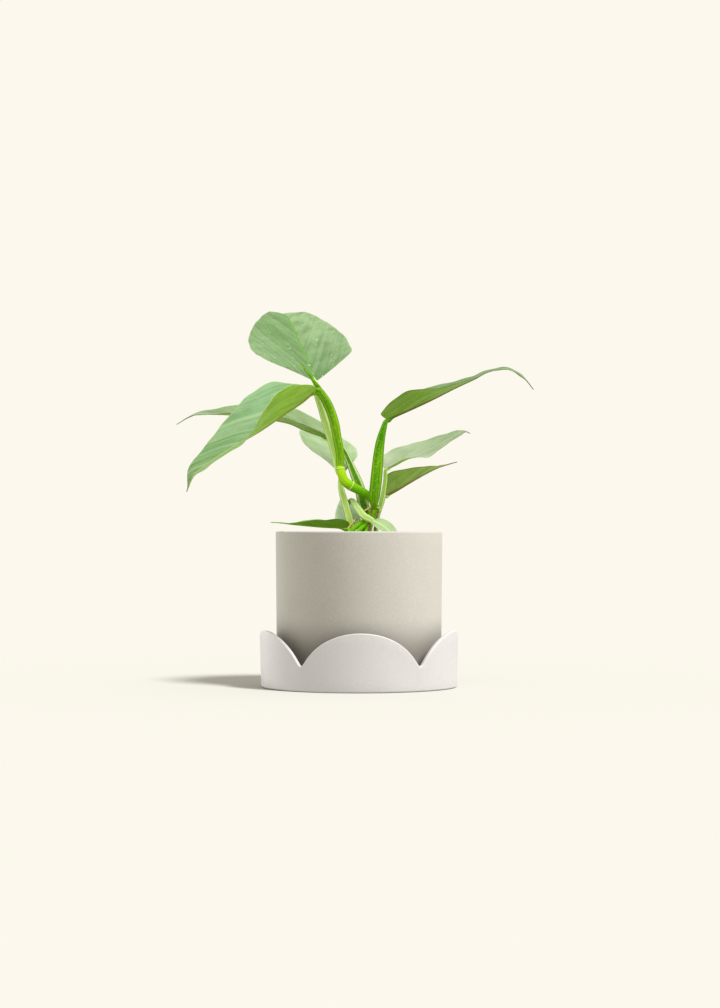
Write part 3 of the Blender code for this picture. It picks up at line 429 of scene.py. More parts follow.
# Each stalk's points are (x, y, z, half width across the view from -Y, half width along it where that
# differs). A stalk that grows from the stem starts inside it, and a petiole ends at its blade. "tone" runs
# from 0, yellow-green, to 1, deep green, as a pair for the foot and the top, and turns from one into the
# other over the share of the length in "change". "pale" whitens both. "deep" is a stalk's own deep green.
# "groove" is the depth of a channel down the front, as a share of the half width, and "wing" how light the
# wings beside it are.
STALKS = {
    "petiole_front_left": {
        "points": [
            (-13.3, -4, 155, 2.6), (-13.5, -4, 159, 3), (-14, -5, 170, 3.1), (-16, -6, 180, 3.3),
            (-17.5, -7, 188.5, 3.4), (-20.5, -8, 198, 3.4), (-24, -9, 205.5, 3.2),
            (-29.4, -10, 212.7, 2.5),
        ],
        "tone": (0.8, 1),
        "deep": "#3F7A06",
        "groove": 0.05,
        "wing": 0.4,
    },
    "petiole_upper": {
        "points": [
            (-14.4, -2, 153, 1.8, 1.4), (-15.5, -0.5, 156.4, 2, 1.6), (-17.5, 3.5, 166.5, 2.4, 1.5),
            (-21, 4, 179, 2.5, 1.4), (-24, 3.5, 189, 2.6, 1.4), (-27.5, 3, 200.5, 2.3, 1.4),
            (-30.5, 2, 210, 2, 1.4), (-31.4, 0, 219.2, 1.7, 1.4),
        ],
        "tone": (0.1, 0.2),
        "pale": 0.35,
        "groove": 0.35,
        "wing": 0.9,
    },
    "petiole_right_upper": {
        "points": [
            (10.8, -2, 128.5, 2), (11, -3.5, 131, 2.6), (11, -4, 136, 3.9), (12, -4.5, 145, 4.2),
            (13, -4, 155.5, 4.1), (14, -3.5, 166.5, 3.7), (15.5, -3, 177, 3.1), (17.5, -2.5, 185, 2.3),
            (19.8, -2, 191.2, 1.6),
        ],
        "tone": (0.95, 1.15),
        "groove": 0.05,
        "wing": 0.25,
    },
    "petiole_back_left": {
        "points": [
            (1.2, 10, 95, 3.4), (2, 10, 99.6, 3.6), (5, 10, 109, 4), (6, 10.5, 118.5, 4),
            (4.5, 11, 126.5, 4), (2.3, 11, 134.5, 4), (0.4, 11, 143.5, 3.6), (-3.2, 10.5, 152.5, 3.2),
            (-6.7, 10.5, 161, 2.5), (-11, 11, 170, 2.1), (-16.5, 12, 176.5, 1.9), (-22.8, 12, 179.3, 1.7),
        ],
        "tone": (0.9, 1),
        "pale": 0.02,
        "groove": 0.45,
        "wing": 0.9,
    },
    "petiole_centre_back": {
        "points": [
            (-6, 3, 95, 3.2), (-6, 3, 99.6, 3.3), (-6, 3.5, 109, 3.3), (-6.5, 4, 118.5, 3.1),
            (-9, 5, 128.5, 2.8), (-12, 6.5, 138.5, 2.4), (-13.4, 9, 146.5, 1.9),
            (-12.5, 10.4, 153.4, 1.5),
        ],
        "tone": (0.3, 0.35),
        "pale": 0.35,
        "groove": 0.3,
        "wing": 0.9,
    },
    "petiole_right_middle": {
        "points": [
            (12.5, 1.5, 125.5, 1.4), (15, 3, 127.8, 1.7), (16.5, 3.5, 134, 1.7), (18, 4, 141.5, 1.6),
            (19, 4, 148.5, 1.5), (19.5, 4, 156.2, 1.3),
        ],
        "tone": (0.5, 0.4),
        "pale": 0.2,
        "groove": 0.3,
    },
    "petiole_right_lower": {
        "points": [
            (12.5, 14, 95, 1.8), (12.5, 14, 99.6, 1.8), (12.2, 14, 111, 1.8), (13, 14.5, 120, 1.7),
            (15, 15, 127, 1.5), (17, 15, 132, 1.3), (18.8, 15, 136.7, 1.1),
        ],
        "tone": (0.4, 0.4),
        "pale": 0.3,
        "groove": 0.3,
    },
    "petiole_low_left": {
        "points": [
            (-6, -12.4, 95, 1.5), (-6, -12, 99.6, 1.5), (-6, -11, 105.5, 1.5), (-7, -9.5, 110.2, 1.5),
            (-8, -8.2, 113.1, 1.3),
        ],
        "tone": (0.5, 0.7),
    },
    "petiole_low_back": {
        "points": [
            (-6, 15.8, 95, 1.2), (-6, 15.5, 99.6, 1.2), (-6, 15, 106.5, 1.2), (-6.5, 15, 112.8, 1),
        ],
        "tone": (0.1, 0.1),
        "pale": 0.8,
    },
    "petiole_low_right": {
        "points": [
            (-6.2, 9.2, 95, 1.6), (-7, 9.5, 99.6, 1.6), (-8.5, 10, 109, 1.6), (-8.5, 10.5, 118.5, 1.6),
            (-8.5, 10.5, 126.5, 1.6), (-7.5, 9.5, 132.3, 1.6), (-5.5, 6.5, 134.2, 1.6, 1.4),
            (-3.5, 2.5, 132, 2.2, 1.3), (-0.5, -2.5, 127.5, 2.5, 1.2), (3.5, -6, 122.5, 2.6, 1.1),
            (9.2, -8, 119.3, 2.2, 1),
        ],
        "tone": (1, 0.35),
        "change": (0.66, 0.86),
        "pale": 0.55,
        "groove": 0.25,
        "wing": 0.15,
    },
    "stem": {
        "points": [
            (2.5, 0, 95, 4.4), (3, 0, 99.6, 4.4), (4, 0, 110.5, 4.2), (6, 0, 117, 3.4),
            (9, 0, 122.5, 2.8), (11, 0, 128.5, 3), (10.5, 2.5, 132, 2.8), (8, 4, 136, 2.9),
            (3.5, 3, 139.5, 3.1), (-0.5, 1, 141.5, 3.2), (-6, -1.5, 144.5, 3.5), (-10.5, -3, 148, 3.4),
            (-12.5, -4, 153, 3.2), (-13.5, -4, 157.5, 3.1),
        ],
        "tone": (1, 0),
        "change": (0.76, 0.9),
        "deep": "#66AE02",
    },
    "spear": {
        "points": [
            (-22, -6, 202.5, 1.2), (-23, -4.3, 204.5, 1.5), (-26, -4.5, 210, 1.6), (-29, -6, 215, 1.6),
            (-32, -8, 218.5, 1.3), (-35, -9, 223, 0.95), (-38.5, -9.5, 227, 0.7),
            (-41.5, -10, 232.5, 0.35),
        ],
        "tone": (1, 0.9),
        "groove": 0.3,
        "wing": 0.2,
    },
}
# Sheaths at the stem's foot, grown to it
SHEATHS = [
    [
        (-8.2, -5, 95, 1.7), (-8, -5, 99.6, 1.7), (-7, -5, 105.5, 1.7), (-4.5, -4.5, 112.5, 1.7),
        (1.5, -3, 117.5, 1.7), (8, -1, 122.5, 1.7),
    ],
    [
        (-3.6, -7, 95, 1.8), (-3.5, -7, 99.6, 1.8), (-3, -7, 105.5, 1.8), (0, -6, 112, 1.8),
        (4.5, -4, 116, 1.8), (8.5, -1.5, 121, 1.8),
    ],
    [
        (1.8, -8, 95, 1.8), (2, -8, 99.6, 1.8), (3, -8, 104.5, 1.8), (5, -6, 110.5, 1.8),
        (7, -4, 114.5, 1.8), (9.5, -1, 119.5, 1.8),
    ],
]
# Leaf scars ring the stem where a leaf grows or grew: (centre, direction of the stem there, radius)
SCARS = [
    ((11, 0.2, 128.3), (0.1, 0.2, 1), 3.15),
    ((-6, -1.5, 144.5), (-0.8, -0.35, 0.5), 3.6),
    ((-13.4, -4, 156.8), (-0.15, 0, 1), 3.25),
]
ROOTS = {
    "root_left": [
        (-12, -3, 95, 0.6), (-12, -3, 99.6, 0.6), (-11.5, -3, 107, 0.6), (-8.5, -2, 112.5, 0.6),
        (-5, -1.5, 117, 0.6), (-0.5, -1, 122.5, 0.6), (2, -1.5, 125, 0.6), (8.5, -3, 129, 0.6),
        (10.5, -1.5, 129.5, 0.5),
    ],
    "root_right": [
        (11, -6, 95, 0.5), (11, -6, 99.6, 0.5), (11.5, -5, 112.5, 0.5), (12, -4.5, 119.5, 0.5),
        (13.5, -4, 124.5, 0.5), (14, -3, 127.5, 0.5), (12, -1, 128, 0.5),
    ],
    "root_front": [
        (5.4, -11, 95, 0.5), (5.5, -11, 99.6, 0.5), (6, -10.5, 107, 0.5), (7, -9, 112.5, 0.5),
        (7.5, -7.3, 116, 0.5), (8, -5.5, 119, 0.5), (8.5, -4.6, 122.5, 0.5), (9, -3.9, 126, 0.5),
        (9.8, -1.5, 127.5, 0.5),
    ],
}


def linear(colour):
    """Linear RGBA from an sRGB hex colour such as "#A1B2C3"."""
    parts = [int(colour[i : i + 2], 16) / 255 for i in (1, 3, 5)]
    return (*(c / 12.92 if c <= 0.04045 else ((c + 0.055) / 1.055) ** 2.4 for c in parts), 1.0)


def between(low, high, share):
    """The colour at a share of the way from one linear colour to another."""
    return tuple(a + (b - a) * share for a, b in zip(low, high))


def add(tree, kind, inputs=None, **settings):
    """Adds a shader node with its settings. Inputs go by name or number, and take a value, a socket or a
    node, whose first output is then linked."""
    node = tree.nodes.new(f"ShaderNode{kind}")
    for name, value in settings.items():
        setattr(node, name, value)
    sockets = [socket for socket in node.inputs if socket.enabled]
    for key, value in (inputs or {}).items():
        socket = sockets[key] if isinstance(key, int) else next(s for s in sockets if s.name == key)
        if isinstance(value, bpy.types.Node):
            value = next(s for s in value.outputs if s.enabled)
        if isinstance(value, bpy.types.NodeSocket):
            tree.links.new(value, socket)
        else:
            socket.default_value = value
    return node


def unit(vectors):
    return vectors / np.linalg.norm(vectors, axis=-1, keepdims=True)


def smooth_line(points, places, steps=24):
    """Points on a smooth curve through the given points, at places from 0 to 1 along its length. The first
    three numbers of a point are its place, and any others change smoothly with them."""
    points = np.asarray(points, float)
    padded = np.vstack([2 * points[0] - points[1], points, 2 * points[-1] - points[-2]])
    dense = []
    for i in range(1, len(padded) - 2):
        four = padded[i - 1 : i + 3]
        gaps = np.sqrt(np.maximum(np.linalg.norm(np.diff(four[:, :3], axis=0), axis=1), 1e-9))
        knot = np.concatenate([[0], np.cumsum(gaps)])
        t = np.linspace(knot[1], knot[2], steps, endpoint=i == len(padded) - 3)[:, None]
        layer = [((knot[k + 1] - t) * four[k] + (t - knot[k]) * four[k + 1]) / gaps[k] for k in range(3)]
        low = ((knot[2] - t) * layer[0] + (t - knot[0]) * layer[1]) / (knot[2] - knot[0])
        high = ((knot[3] - t) * layer[1] + (t - knot[1]) * layer[2]) / (knot[3] - knot[1])
        dense.append(((knot[2] - t) * low + (t - knot[1]) * high) / gaps[1])
    dense = np.vstack(dense)
    run = np.concatenate([[0], np.cumsum(np.linalg.norm(np.diff(dense[:, :3], axis=0), axis=1))])
    return np.stack([np.interp(np.asarray(places) * run[-1], run, column) for column in dense.T], 1)


def between_keys(keys, places, shifts=(-0.05, -0.025, 0, 0.025, 0.05)):
    """Values between (place, value) keys. The mean over small shifts rounds the corners off."""
    at = np.array([key[0] for key in keys], float)
    values = np.array([key[1] for key in keys], float).reshape(len(keys), -1)
    total = sum(np.stack([np.interp(places + s, at, column) for column in values.T], -1) for s in shifts)
    rounded = total / len(shifts)
    return rounded[..., 0] if rounded.shape[-1] == 1 else rounded


def upward(tangent, leaf, places):
    """The direction that the upper face looks in, square to the midrib."""
    if "face" in leaf:
        face = between_keys(leaf["face"], places)
        return unit(face - (face * tangent).sum(1)[:, None] * tangent)
    away = np.array([0.0, 1.0, 0.0])
    deep = unit(away - (tangent @ away)[:, None] * tangent)
    up = np.cross(deep, tangent)
    up *= np.sign(up[:, 2:])
    roll = np.radians(between_keys(leaf["roll"], places))[:, None]
    return np.cos(roll) * up - np.sin(roll) * deep


def midrib_frame(leaf, count=400):
    """Points, tangents and length of a blade's midrib."""
    line = smooth_line(leaf["midrib"], np.linspace(0, 1, count))
    return line, unit(np.gradient(line, axis=0)), np.linalg.norm(np.diff(line, axis=0), axis=1).sum()


def blade_grid(leaf, crease=2.0, steps=16):
    """The blade's middle surface as a [row, column] grid of points, and for each point the row's share of
    the blade, the signed share of its half, its distance from the midrib and its station along it. Rows
    run from the midrib forward to the margin. The fold is complete at the crease's width from the rib."""
    rows, columns = leaf["grid"]
    line, tangents, length = midrib_frame(leaf)
    line_places = np.linspace(0, 1, len(line))
    share = np.linspace(BLADE_FOOT / length, 1, rows + 1)
    # Rows leave the midrib behind the place where they reach the margin. Columns crowd at the midrib.
    rib_places = 0.15 * share + 0.847 * share**2
    crowding = 1.25
    shape = (rows + 1, 2 * columns + 1)
    grid = np.zeros((*shape, 3))
    parts, distances, stations = np.zeros((3, *shape))
    for half, side in enumerate((-1, 1)):
        width = leaf["half_width"][half]
        outline = np.array(OUTLINES[leaf["outline"][half]], float) * [1, width / length]
        margin = smooth_line(outline, share) * [1, length / width]
        for column in range(columns + 1):
            part = (column / columns) ** crowding
            place = rib_places + part * (margin[:, 0] - rib_places)
            distance = part * margin[:, 1] * width
            tangent = unit(np.stack([np.interp(place, line_places, c) for c in tangents.T], 1))
            centre = np.stack([np.interp(place, line_places, c) for c in line.T], 1)
            centre += tangent * (np.minimum(place, 0) * length)[:, None]
            up = upward(tangent, leaf, place)
            out = np.cross(tangent, up) * side
            fold = np.radians(between_keys(leaf["fold"][half], place))
            curl = np.radians(between_keys(leaf["curl"][half], place))
            run = (distance / steps)[:, None]
            for step in range(steps):
                reached = distance * (step + 0.5) / steps
                angle = (fold * np.minimum(reached / crease, 1) + curl * reached / width)[:, None]
                centre = centre + out * np.cos(angle) * run + up * np.sin(angle) * run
            at = columns + side * column
            grid[:, at], parts[:, at] = centre, side * part
            distances[:, at], stations[:, at] = distance, place
    return grid, np.broadcast_to(share[:, None], shape), parts, distances, stations * length


def grid_normals(grid):
    """Unit normals at a grid's points, from the mean of the faces round each."""
    faces = np.cross(grid[1:, 1:] - grid[:-1, :-1], grid[1:, :-1] - grid[:-1, 1:])
    normals = np.zeros_like(grid)
    for rows in (slice(0, -1), slice(1, None)):
        for columns in (slice(0, -1), slice(1, None)):
            normals[rows, columns] += faces
    return unit(normals + 1e-12)


def numbered(rows, columns, first=0):
    """A [row, column] grid of point numbers that starts at first."""
    return first + np.arange(rows * columns).reshape(rows, columns)


def sheet_faces(index, flip):
    """Quads over a grid of point numbers."""
    quads = np.stack([index[:-1, :-1], index[:-1, 1:], index[1:, 1:], index[1:, :-1]], -1).reshape(-1, 4)
    return quads[:, ::-1] if flip else quads


def round_faces(index, closed=False):
    """Quads over a grid of point numbers whose rows are closed on themselves. A closed grid's last row
    also meets its first."""
    if closed:
        index = np.vstack([index, index[:1]])
    after = np.roll(index, -1, axis=1)
    return np.stack([index[:-1], index[1:], after[1:], after[:-1]], -1).reshape(-1, 4)


def make_piece(name, points, faces, materials, uv_maps=None, face_materials=None, replaced=None):
    """A smooth-shaded mesh object that rides on the plant's one body. Points are in millimetres. One that
    replaces a node of the frame hides that node."""
    data = bpy.data.meshes.new(name)
    data.from_pydata((np.asarray(points) * MM).tolist(), [], faces)
    corners = np.zeros(len(data.loops), np.int32)
    data.loops.foreach_get("vertex_index", corners)
    for uv_name, values in (uv_maps or {}).items():
        layer = data.uv_layers.new(name=uv_name)
        layer.data.foreach_set("uv", np.asarray(values, np.float32)[corners].ravel())
    for material in materials:
        data.materials.append(material)
    if face_materials is not None:
        data.polygons.foreach_set("material_index", np.asarray(face_materials, np.int32))
    data.shade_smooth()
    data.update()
    piece = bpy.data.objects.new(name, data)
    bpy.context.scene.collection.objects.link(piece)
    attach(piece, BODY)
    if replaced:
        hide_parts(replaced)


def vein_feet(leaf, parts, distances, stations, spacing):
    """Where the side vein through each point leaves the midrib. Veins set out at 32 degrees and bend
    forward, and those of the two halves alternate."""
    width = np.where(parts < 0, *leaf["half_width"])
    offset = 0.25 * spacing * np.sign(parts) * np.minimum(distances / 2, 1)
    return stations - VEIN_SLANT * distances - VEIN_BEND * distances**2 / width + offset


def blade_piece(place, leaf, settings):
    """A blade with a keel under its midrib, quilted between its side veins, with a softly waved margin."""
    grid, along, parts, distances, stations = blade_grid(leaf)
    rows, columns = grid.shape[:2]
    row, middle = rows // 2, columns // 2
    line, tangents, _ = midrib_frame(leaf)
    facing = upward(tangents, leaf, np.linspace(0, 1, len(line)))[len(line) // 2]
    normals = grid_normals(grid)
    normals *= np.sign(normals[row, middle] @ facing)
    phase = np.random.default_rng([SEED, *place.encode()]).uniform(0, 2 * np.pi, 4)
    outward, side = np.abs(parts), np.sign(parts)
    # The relief fades out over the first 12% and the last 10% of the blade.
    settled = np.clip(along / 0.12, 0, 1) * np.clip((1 - along) / 0.1, 0, 1)
    spacing = settings.vein_spacing / MM
    feet = vein_feet(leaf, parts, distances, stations, spacing)
    # The tissue stands proud between the side veins, which lie in shallow creases.
    quilt = np.abs(np.sin(np.pi * feet / spacing)) ** 0.6 * np.clip(distances / 2, 0, 1) * (1 - outward**4)
    long_wave = np.sin(2 * np.pi * stations / LONG_WAVE + phase[0] + side)
    short_wave = 0.5 * np.sin(2 * np.pi * stations / SHORT_WAVE + phase[1] + 2 * side)
    wave = (long_wave + short_wave) * outward**2.5
    swell = SWELL * np.sin(along * 9 + phase[2] + side) * np.sin(outward * 5 + phase[3]) * outward
    lift = settings.vein_depth / MM * quilt + settings.wave_height / MM * wave + swell
    surface = grid + normals * (lift * settled)[..., None]
    bent = grid_normals(surface)
    normals = bent * np.sign((bent * normals).sum(-1, keepdims=True))
    # A blade thins to half at its margin. Its keel tapers to the tip, and a channel lies over it.
    half = settings.blade_thickness / MM / 2 * (1 - 0.5 * outward**6)
    keel = leaf["keel"] * ((1 - along) ** 0.6 * 0.85 + 0.15)
    under = half + np.sqrt(np.maximum(keel**2 - distances**2, 0)) * 0.9
    dip = 0.35 * leaf["keel"] * np.exp(-((distances / keel) ** 2)) * np.clip(along / 0.05, 0, 1)
    top = surface + normals * (half - dip)[..., None]
    bottom = surface - normals * under[..., None]
    across = top[row, middle + 1] - top[row, middle]
    forward = top[row + 1, middle] - top[row, middle]
    flip = np.cross(across, forward) @ normals[row, middle] < 0
    index = numbered(rows, columns)
    upper = sheet_faces(index, flip)
    lower = sheet_faces(index + index.size, not flip)
    ring = np.concatenate([index[0, :-1], index[:-1, -1], index[-1, :0:-1], index[:0:-1, 0]])
    after = np.roll(ring, -1)
    rim = np.stack([ring, after, after + index.size, ring + index.size], 1)
    rim = rim if flip else rim[:, ::-1]
    uv_maps = {
        "place": np.stack([along, 0.5 + 0.5 * parts], -1).reshape(-1, 2),
        "veins": np.stack([feet, side * distances], -1).reshape(-1, 2) * MM,
    }
    name = f"blade_{place}"
    make_piece(
        name,
        np.concatenate([top, bottom]).reshape(-1, 3),
        np.concatenate([upper, lower, rim]).tolist(),
        [waxy_leaf_top(f"{name}_top", leaf, settings), leaf_underside(f"{name}_underside", leaf, settings)],
        {key: np.concatenate([values] * 2) for key, values in uv_maps.items()},
        np.concatenate([np.zeros(len(upper)), np.ones(len(lower) + len(rim))]),
        f"leaf_{place}",
    )


def stalk_points(name, stalk):
    """The stalk's own points and, for a petiole, those that carry it on under its blade's midrib."""
    points = [*stalk["points"]]
    leaf = LEAVES.get(name.removeprefix("petiole_"))
    if leaf is None:
        return points
    line, tangents, length = midrib_frame(leaf)
    up = upward(tangents, leaf, np.linspace(0, 1, len(line)))
    across, along = points[-1][3], points[-1][-1]
    # It thins to these shares of its width at these distances along the midrib, in mm. Its axis lies three
    # quarters of its half width under the midrib.
    for distance, share in ((0.6, 0.9), (3, 0.55), (6.5, 0.2)):
        i = min(int(distance / length * len(line)), len(line) - 1)
        centre = line[i] - up[i] * share * along * 0.75
        points.append((*centre, across * share, along * share))
    return points


def tube(points, sides, spacing, groove=0.0, roughness=0.0, seed=0):
    """Points, faces and UV maps of a stalk with rounded ends, through points like those in STALKS. groove
    is the depth of a channel down its front, between two low wings. The maps give the place along the
    stalk, the turn from its front, and the way round it."""
    points = np.array([(*point, point[3])[:5] for point in points], float)
    length = np.linalg.norm(np.diff(points[:, :3], axis=0), axis=1).sum()
    count = max(8, round(length / spacing))
    places = np.linspace(0, 1, count + 1)
    line = smooth_line(points, places)
    middle, across, along = line[:, :3], line[:, 3], line[:, 4]
    tangent = unit(np.gradient(middle, axis=0))
    front = np.array([0.0, -1.0, 0.0])
    angle = np.linspace(-np.pi, np.pi, sides, endpoint=False)
    from_wing = np.abs(angle) - 2 * np.pi * WING_PLACE
    channel = 1 - groove * np.exp(-((angle / CHANNEL_WIDTH) ** 2))
    channel += WING_HEIGHT * groove * np.exp(-((from_wing / WING_WIDTH) ** 2))
    rings, turns, rounds = [], [], []
    ends = [0] * CAP_RINGS + list(range(1, count)) + [count] * CAP_RINGS
    for number, i in enumerate(ends):
        toward = unit(front - front @ tangent[i] * tangent[i])
        beside = np.cross(tangent[i], toward)
        shape = channel
        if roughness:
            spots = [Vector((math.cos(a) + seed, math.sin(a), i * spacing / 3)) for a in angle]
            shape = channel + roughness * np.array([noise.noise(spot) for spot in spots])
        from_end = min(number, len(ends) - 1 - number) / (CAP_RINGS - 1)
        lift = math.cos(min(from_end, 1) * math.pi / 2)
        size = math.sqrt(max(1 - lift**2, TIP_SIZE**2))
        push = (-1 if i == 0 else 1) * lift * min(across[i], along[i]) * tangent[i]
        ahead = along[i] * (np.cos(angle) * shape)[:, None] * toward
        aside = across[i] * (np.sin(angle) * shape)[:, None] * beside
        rings.append(middle[i] + push + (ahead + aside) * size)
        turns.append(np.stack([np.full(sides, places[i]), np.abs(angle) / (2 * np.pi)], 1))
        rounds.append(np.stack([np.cos(angle), np.sin(angle)], 1))
    index = numbered(len(rings), sides)
    faces = round_faces(index)[:, [0, 3, 2, 1]].tolist()
    faces += [index[0, ::-1].tolist(), index[-1].tolist()]
    return np.concatenate(rings), faces, {"place": np.concatenate(turns), "round": np.concatenate(rounds)}


def joined(parts):
    """One set of points, faces and UV maps from several."""
    faces, first = [], 0
    for points, part_faces, _ in parts:
        faces.extend([first + i for i in face] for face in part_faces)
        first += len(points)
    maps = {key: np.concatenate([part[2][key] for part in parts]) for key in parts[0][2]}
    return np.concatenate([part[0] for part in parts]), faces, maps


def scar_ring(centre, direction, radius, width=0.3):
    """A thin raised ring round the stem."""
    axis = Vector(direction).normalized()
    first = axis.orthogonal().normalized()
    turns = np.linspace(0, 2 * np.pi, 10, endpoint=False)
    profile = [(radius + width * 0.6 * math.cos(turn), width * math.sin(turn)) for turn in turns]
    points, faces = turned(profile, 48)
    return points @ np.array([first, axis.cross(first), axis]) + centre, faces, {}


def turned(profile, sides):
    """Points and faces of a closed (radius, height) profile turned round the Z axis."""
    angle = np.linspace(0, 2 * np.pi, sides, endpoint=False)
    radius, height = np.array(profile, float).T
    heights = np.broadcast_to(height, (sides, len(profile)))
    points = np.stack([np.outer(np.cos(angle), radius), np.outer(np.sin(angle), radius), heights], -1)
    return points.reshape(-1, 3), round_faces(numbered(sides, len(profile)), closed=True).tolist()


def arc(centre, radius, start, end, steps):
    """(radius, height) points on an arc, with angles in degrees from the outward direction up."""
    angles = np.radians(np.linspace(start, end, steps + 1))
    return [(centre[0] + radius * math.cos(a), centre[1] + radius * math.sin(a)) for a in angles]


def spaced(low, high, steps):
    """Points between two profile points, without the ends."""
    return [tuple(np.array(low) + (np.array(high) - low) * i / steps) for i in range(1, steps)]


def crest_height(angle, peak, valley):
    """Height of the saucer's rim at an angle round it."""
    half = math.pi / SCALLOPS
    across = (angle - SCALLOP_TURN + half) % (2 * half) / half - 1
    across = 1 - math.sqrt((1 - abs(across)) ** 2 + VALLEY_ROUNDING**2)
    low = math.sqrt(SCALLOP_FULLNESS**2 - 1)
    rise = (math.sqrt(SCALLOP_FULLNESS**2 - across**2) - low) / (SCALLOP_FULLNESS - low)
    return valley + (peak - valley) * rise


def in_mm(settings, *keys):
    return [getattr(settings, key) / MM for key in keys]


def scattered_lumps(count, size, radius, height, seed):
    """Points and faces of rounded lumps of random size and turn, half sunk in the soil's top. Each starts
    as a solid of twenty equal triangles."""
    generator = np.random.default_rng(seed)
    golden = (1 + 5**0.5) / 2
    corners = [(s * a, s * b * golden, 0) for s in (1, -1) for a, b in ((1, 1), (1, -1))]
    corners += [(0, x, y) for x, y, _ in corners[:4]] + [(y, 0, x) for x, y, _ in corners[:4]]
    base = unit(np.array(corners, float))
    triangles = []
    for i, j, k in itertools.combinations(range(12), 3):
        if max(np.linalg.norm(base[a] - base[b]) for a, b in ((i, j), (j, k), (k, i))) < 1.2:
            triangles.append((i, j, k) if np.linalg.det(base[[i, j, k]]) > 0 else (i, k, j))
    points, faces = [], []
    # Lumps lie 2.5 mm or more from the pot's wall. They differ in size, in flatness and at their corners.
    for number in range(count):
        reach = (radius - 2.5) * math.sqrt(generator.uniform(0.0, 1))
        turn = generator.uniform(0, 2 * np.pi)
        axes, _ = np.linalg.qr(generator.normal(size=(3, 3)))
        scale = size * generator.uniform(0.45, 1.3) * generator.uniform(0.5, 1.1, 3)
        lump = (base * generator.uniform(0.8, 1.15, (12, 1)) * scale) @ (axes * np.linalg.det(axes))
        points.append(lump + (reach * math.cos(turn), reach * math.sin(turn), height + 0.25 * size))
        faces += [[12 * number + i for i in triangle] for triangle in triangles]
    return np.concatenate(points), faces


def new_material(name):
    material = bpy.data.materials.new(name)
    material.use_nodes = True
    return material, material.node_tree, material.node_tree.nodes["Principled BSDF"]


def layered(tree, colour, layers):
    """Lays colours over a base colour. A layer is a pattern, the pattern's value where the layer starts
    and where it is full, the share that a full layer has, and its colour."""
    for pattern, start, full, most, over in layers:
        limits = {"From Min": start, "From Max": full, "To Max": most}
        share = add(tree, "MapRange", {"Value": pattern, **limits})
        colour = add(tree, "Mix", {0: share, 1: colour, 2: over}, data_type="RGBA")
    return colour


def dress(tree, shader, colour, pattern, depth, strength, inputs):
    """Gives a shader its colour, a relief so many mm deep that follows a pattern, and its other inputs."""
    bump = add(tree, "Bump", {"Height": pattern, "Distance": depth * MM, "Strength": strength})
    tree.links.new(colour.outputs["Result"], shader.inputs["Base Color"])
    tree.links.new(bump.outputs[0], shader.inputs["Normal"])
    for name, value in inputs.items():
        shader.inputs[name].default_value = value
    return bump


def matt_stoneware(settings):
    """Cast stoneware dipped in a matt glaze: even greige with a fine sandy grain and hardly a shine, with
    painted shade towards the foot.
    """
    material, tree, shader = new_material("matt_glazed_stoneware")
    base = tuple(settings.colour)
    place = add(tree, "TexCoord").outputs["Object"]
    # Real grit is about 0.2 mm across, under a third of a pixel, so it is drawn at 0.9 mm and faintly.
    grit = add(tree, "TexNoise", {"Vector": place, "Scale": 1 / (0.9 * MM), "Detail": 2.0})
    clouds = add(tree, "TexNoise", {"Vector": place, "Scale": 1 / (30 * MM), "Detail": 2.0})
    layers = [
        (clouds, 0.35, 0.65, 1, base),
        (grit, 0.52, 0.75, 0.6, between(base, WHITE, 0.1)),
        (grit, 0.48, 0.25, 0.6, between(base, BLACK, 0.13)),
    ]
    colour = layered(tree, between(base, BLACK, 0.03), layers)
    # Painted shade: the glaze goes darker towards the foot, starting 53 mm above the table and full at 22
    # mm, standing for the shade between the pot and the saucer.
    height = add(tree, "SeparateXYZ", {0: place}).outputs["Z"]
    painted_shade_range = {"Value": height, "From Min": 53 * MM, "From Max": 22 * MM}
    painted_shade_share = add(tree, "MapRange", painted_shade_range, interpolation_type="SMOOTHSTEP")
    # The colour named damp is the dark colour of this painted shade.
    damp = between(linear("#3E3226"), base, 0.4)
    colour = add(tree, "Mix", {0: painted_shade_share, 1: colour, 2: damp}, data_type="RGBA")
    dress(tree, shader, colour, grit, 0.12, 0.6, {"Roughness": 0.78, "IOR": 1.45})
    return material


def satin_earthenware(settings):
    """Earthenware, cast and glazed satin: warm off-white with a soft sheen and a slight unevenness."""
    material, tree, shader = new_material("satin_glazed_earthenware")
    base = tuple(settings.colour)
    place = add(tree, "TexCoord").outputs["Object"]
    clouds = add(tree, "TexNoise", {"Vector": place, "Scale": 1 / (25 * MM), "Detail": 3.0})
    # The glaze's orange peel is about 1.2 mm across.
    peel = add(tree, "TexNoise", {"Vector": place, "Scale": 1 / (1.2 * MM), "Detail": 2.0})
    layers = [(clouds, 0.3, 0.7, 1, base), (peel, 0.45, 0.7, 0.5, between(base, WHITE, 0.08))]
    colour = layered(tree, between(base, BLACK, 0.04), layers)
    dress(tree, shader, colour, peel, 0.08, 0.35, {"IOR": 1.5})
    roughness = add(tree, "MapRange", {"Value": clouds, "To Min": 0.4, "To Max": 0.52})
    tree.links.new(roughness.outputs[0], shader.inputs["Roughness"])
    return material


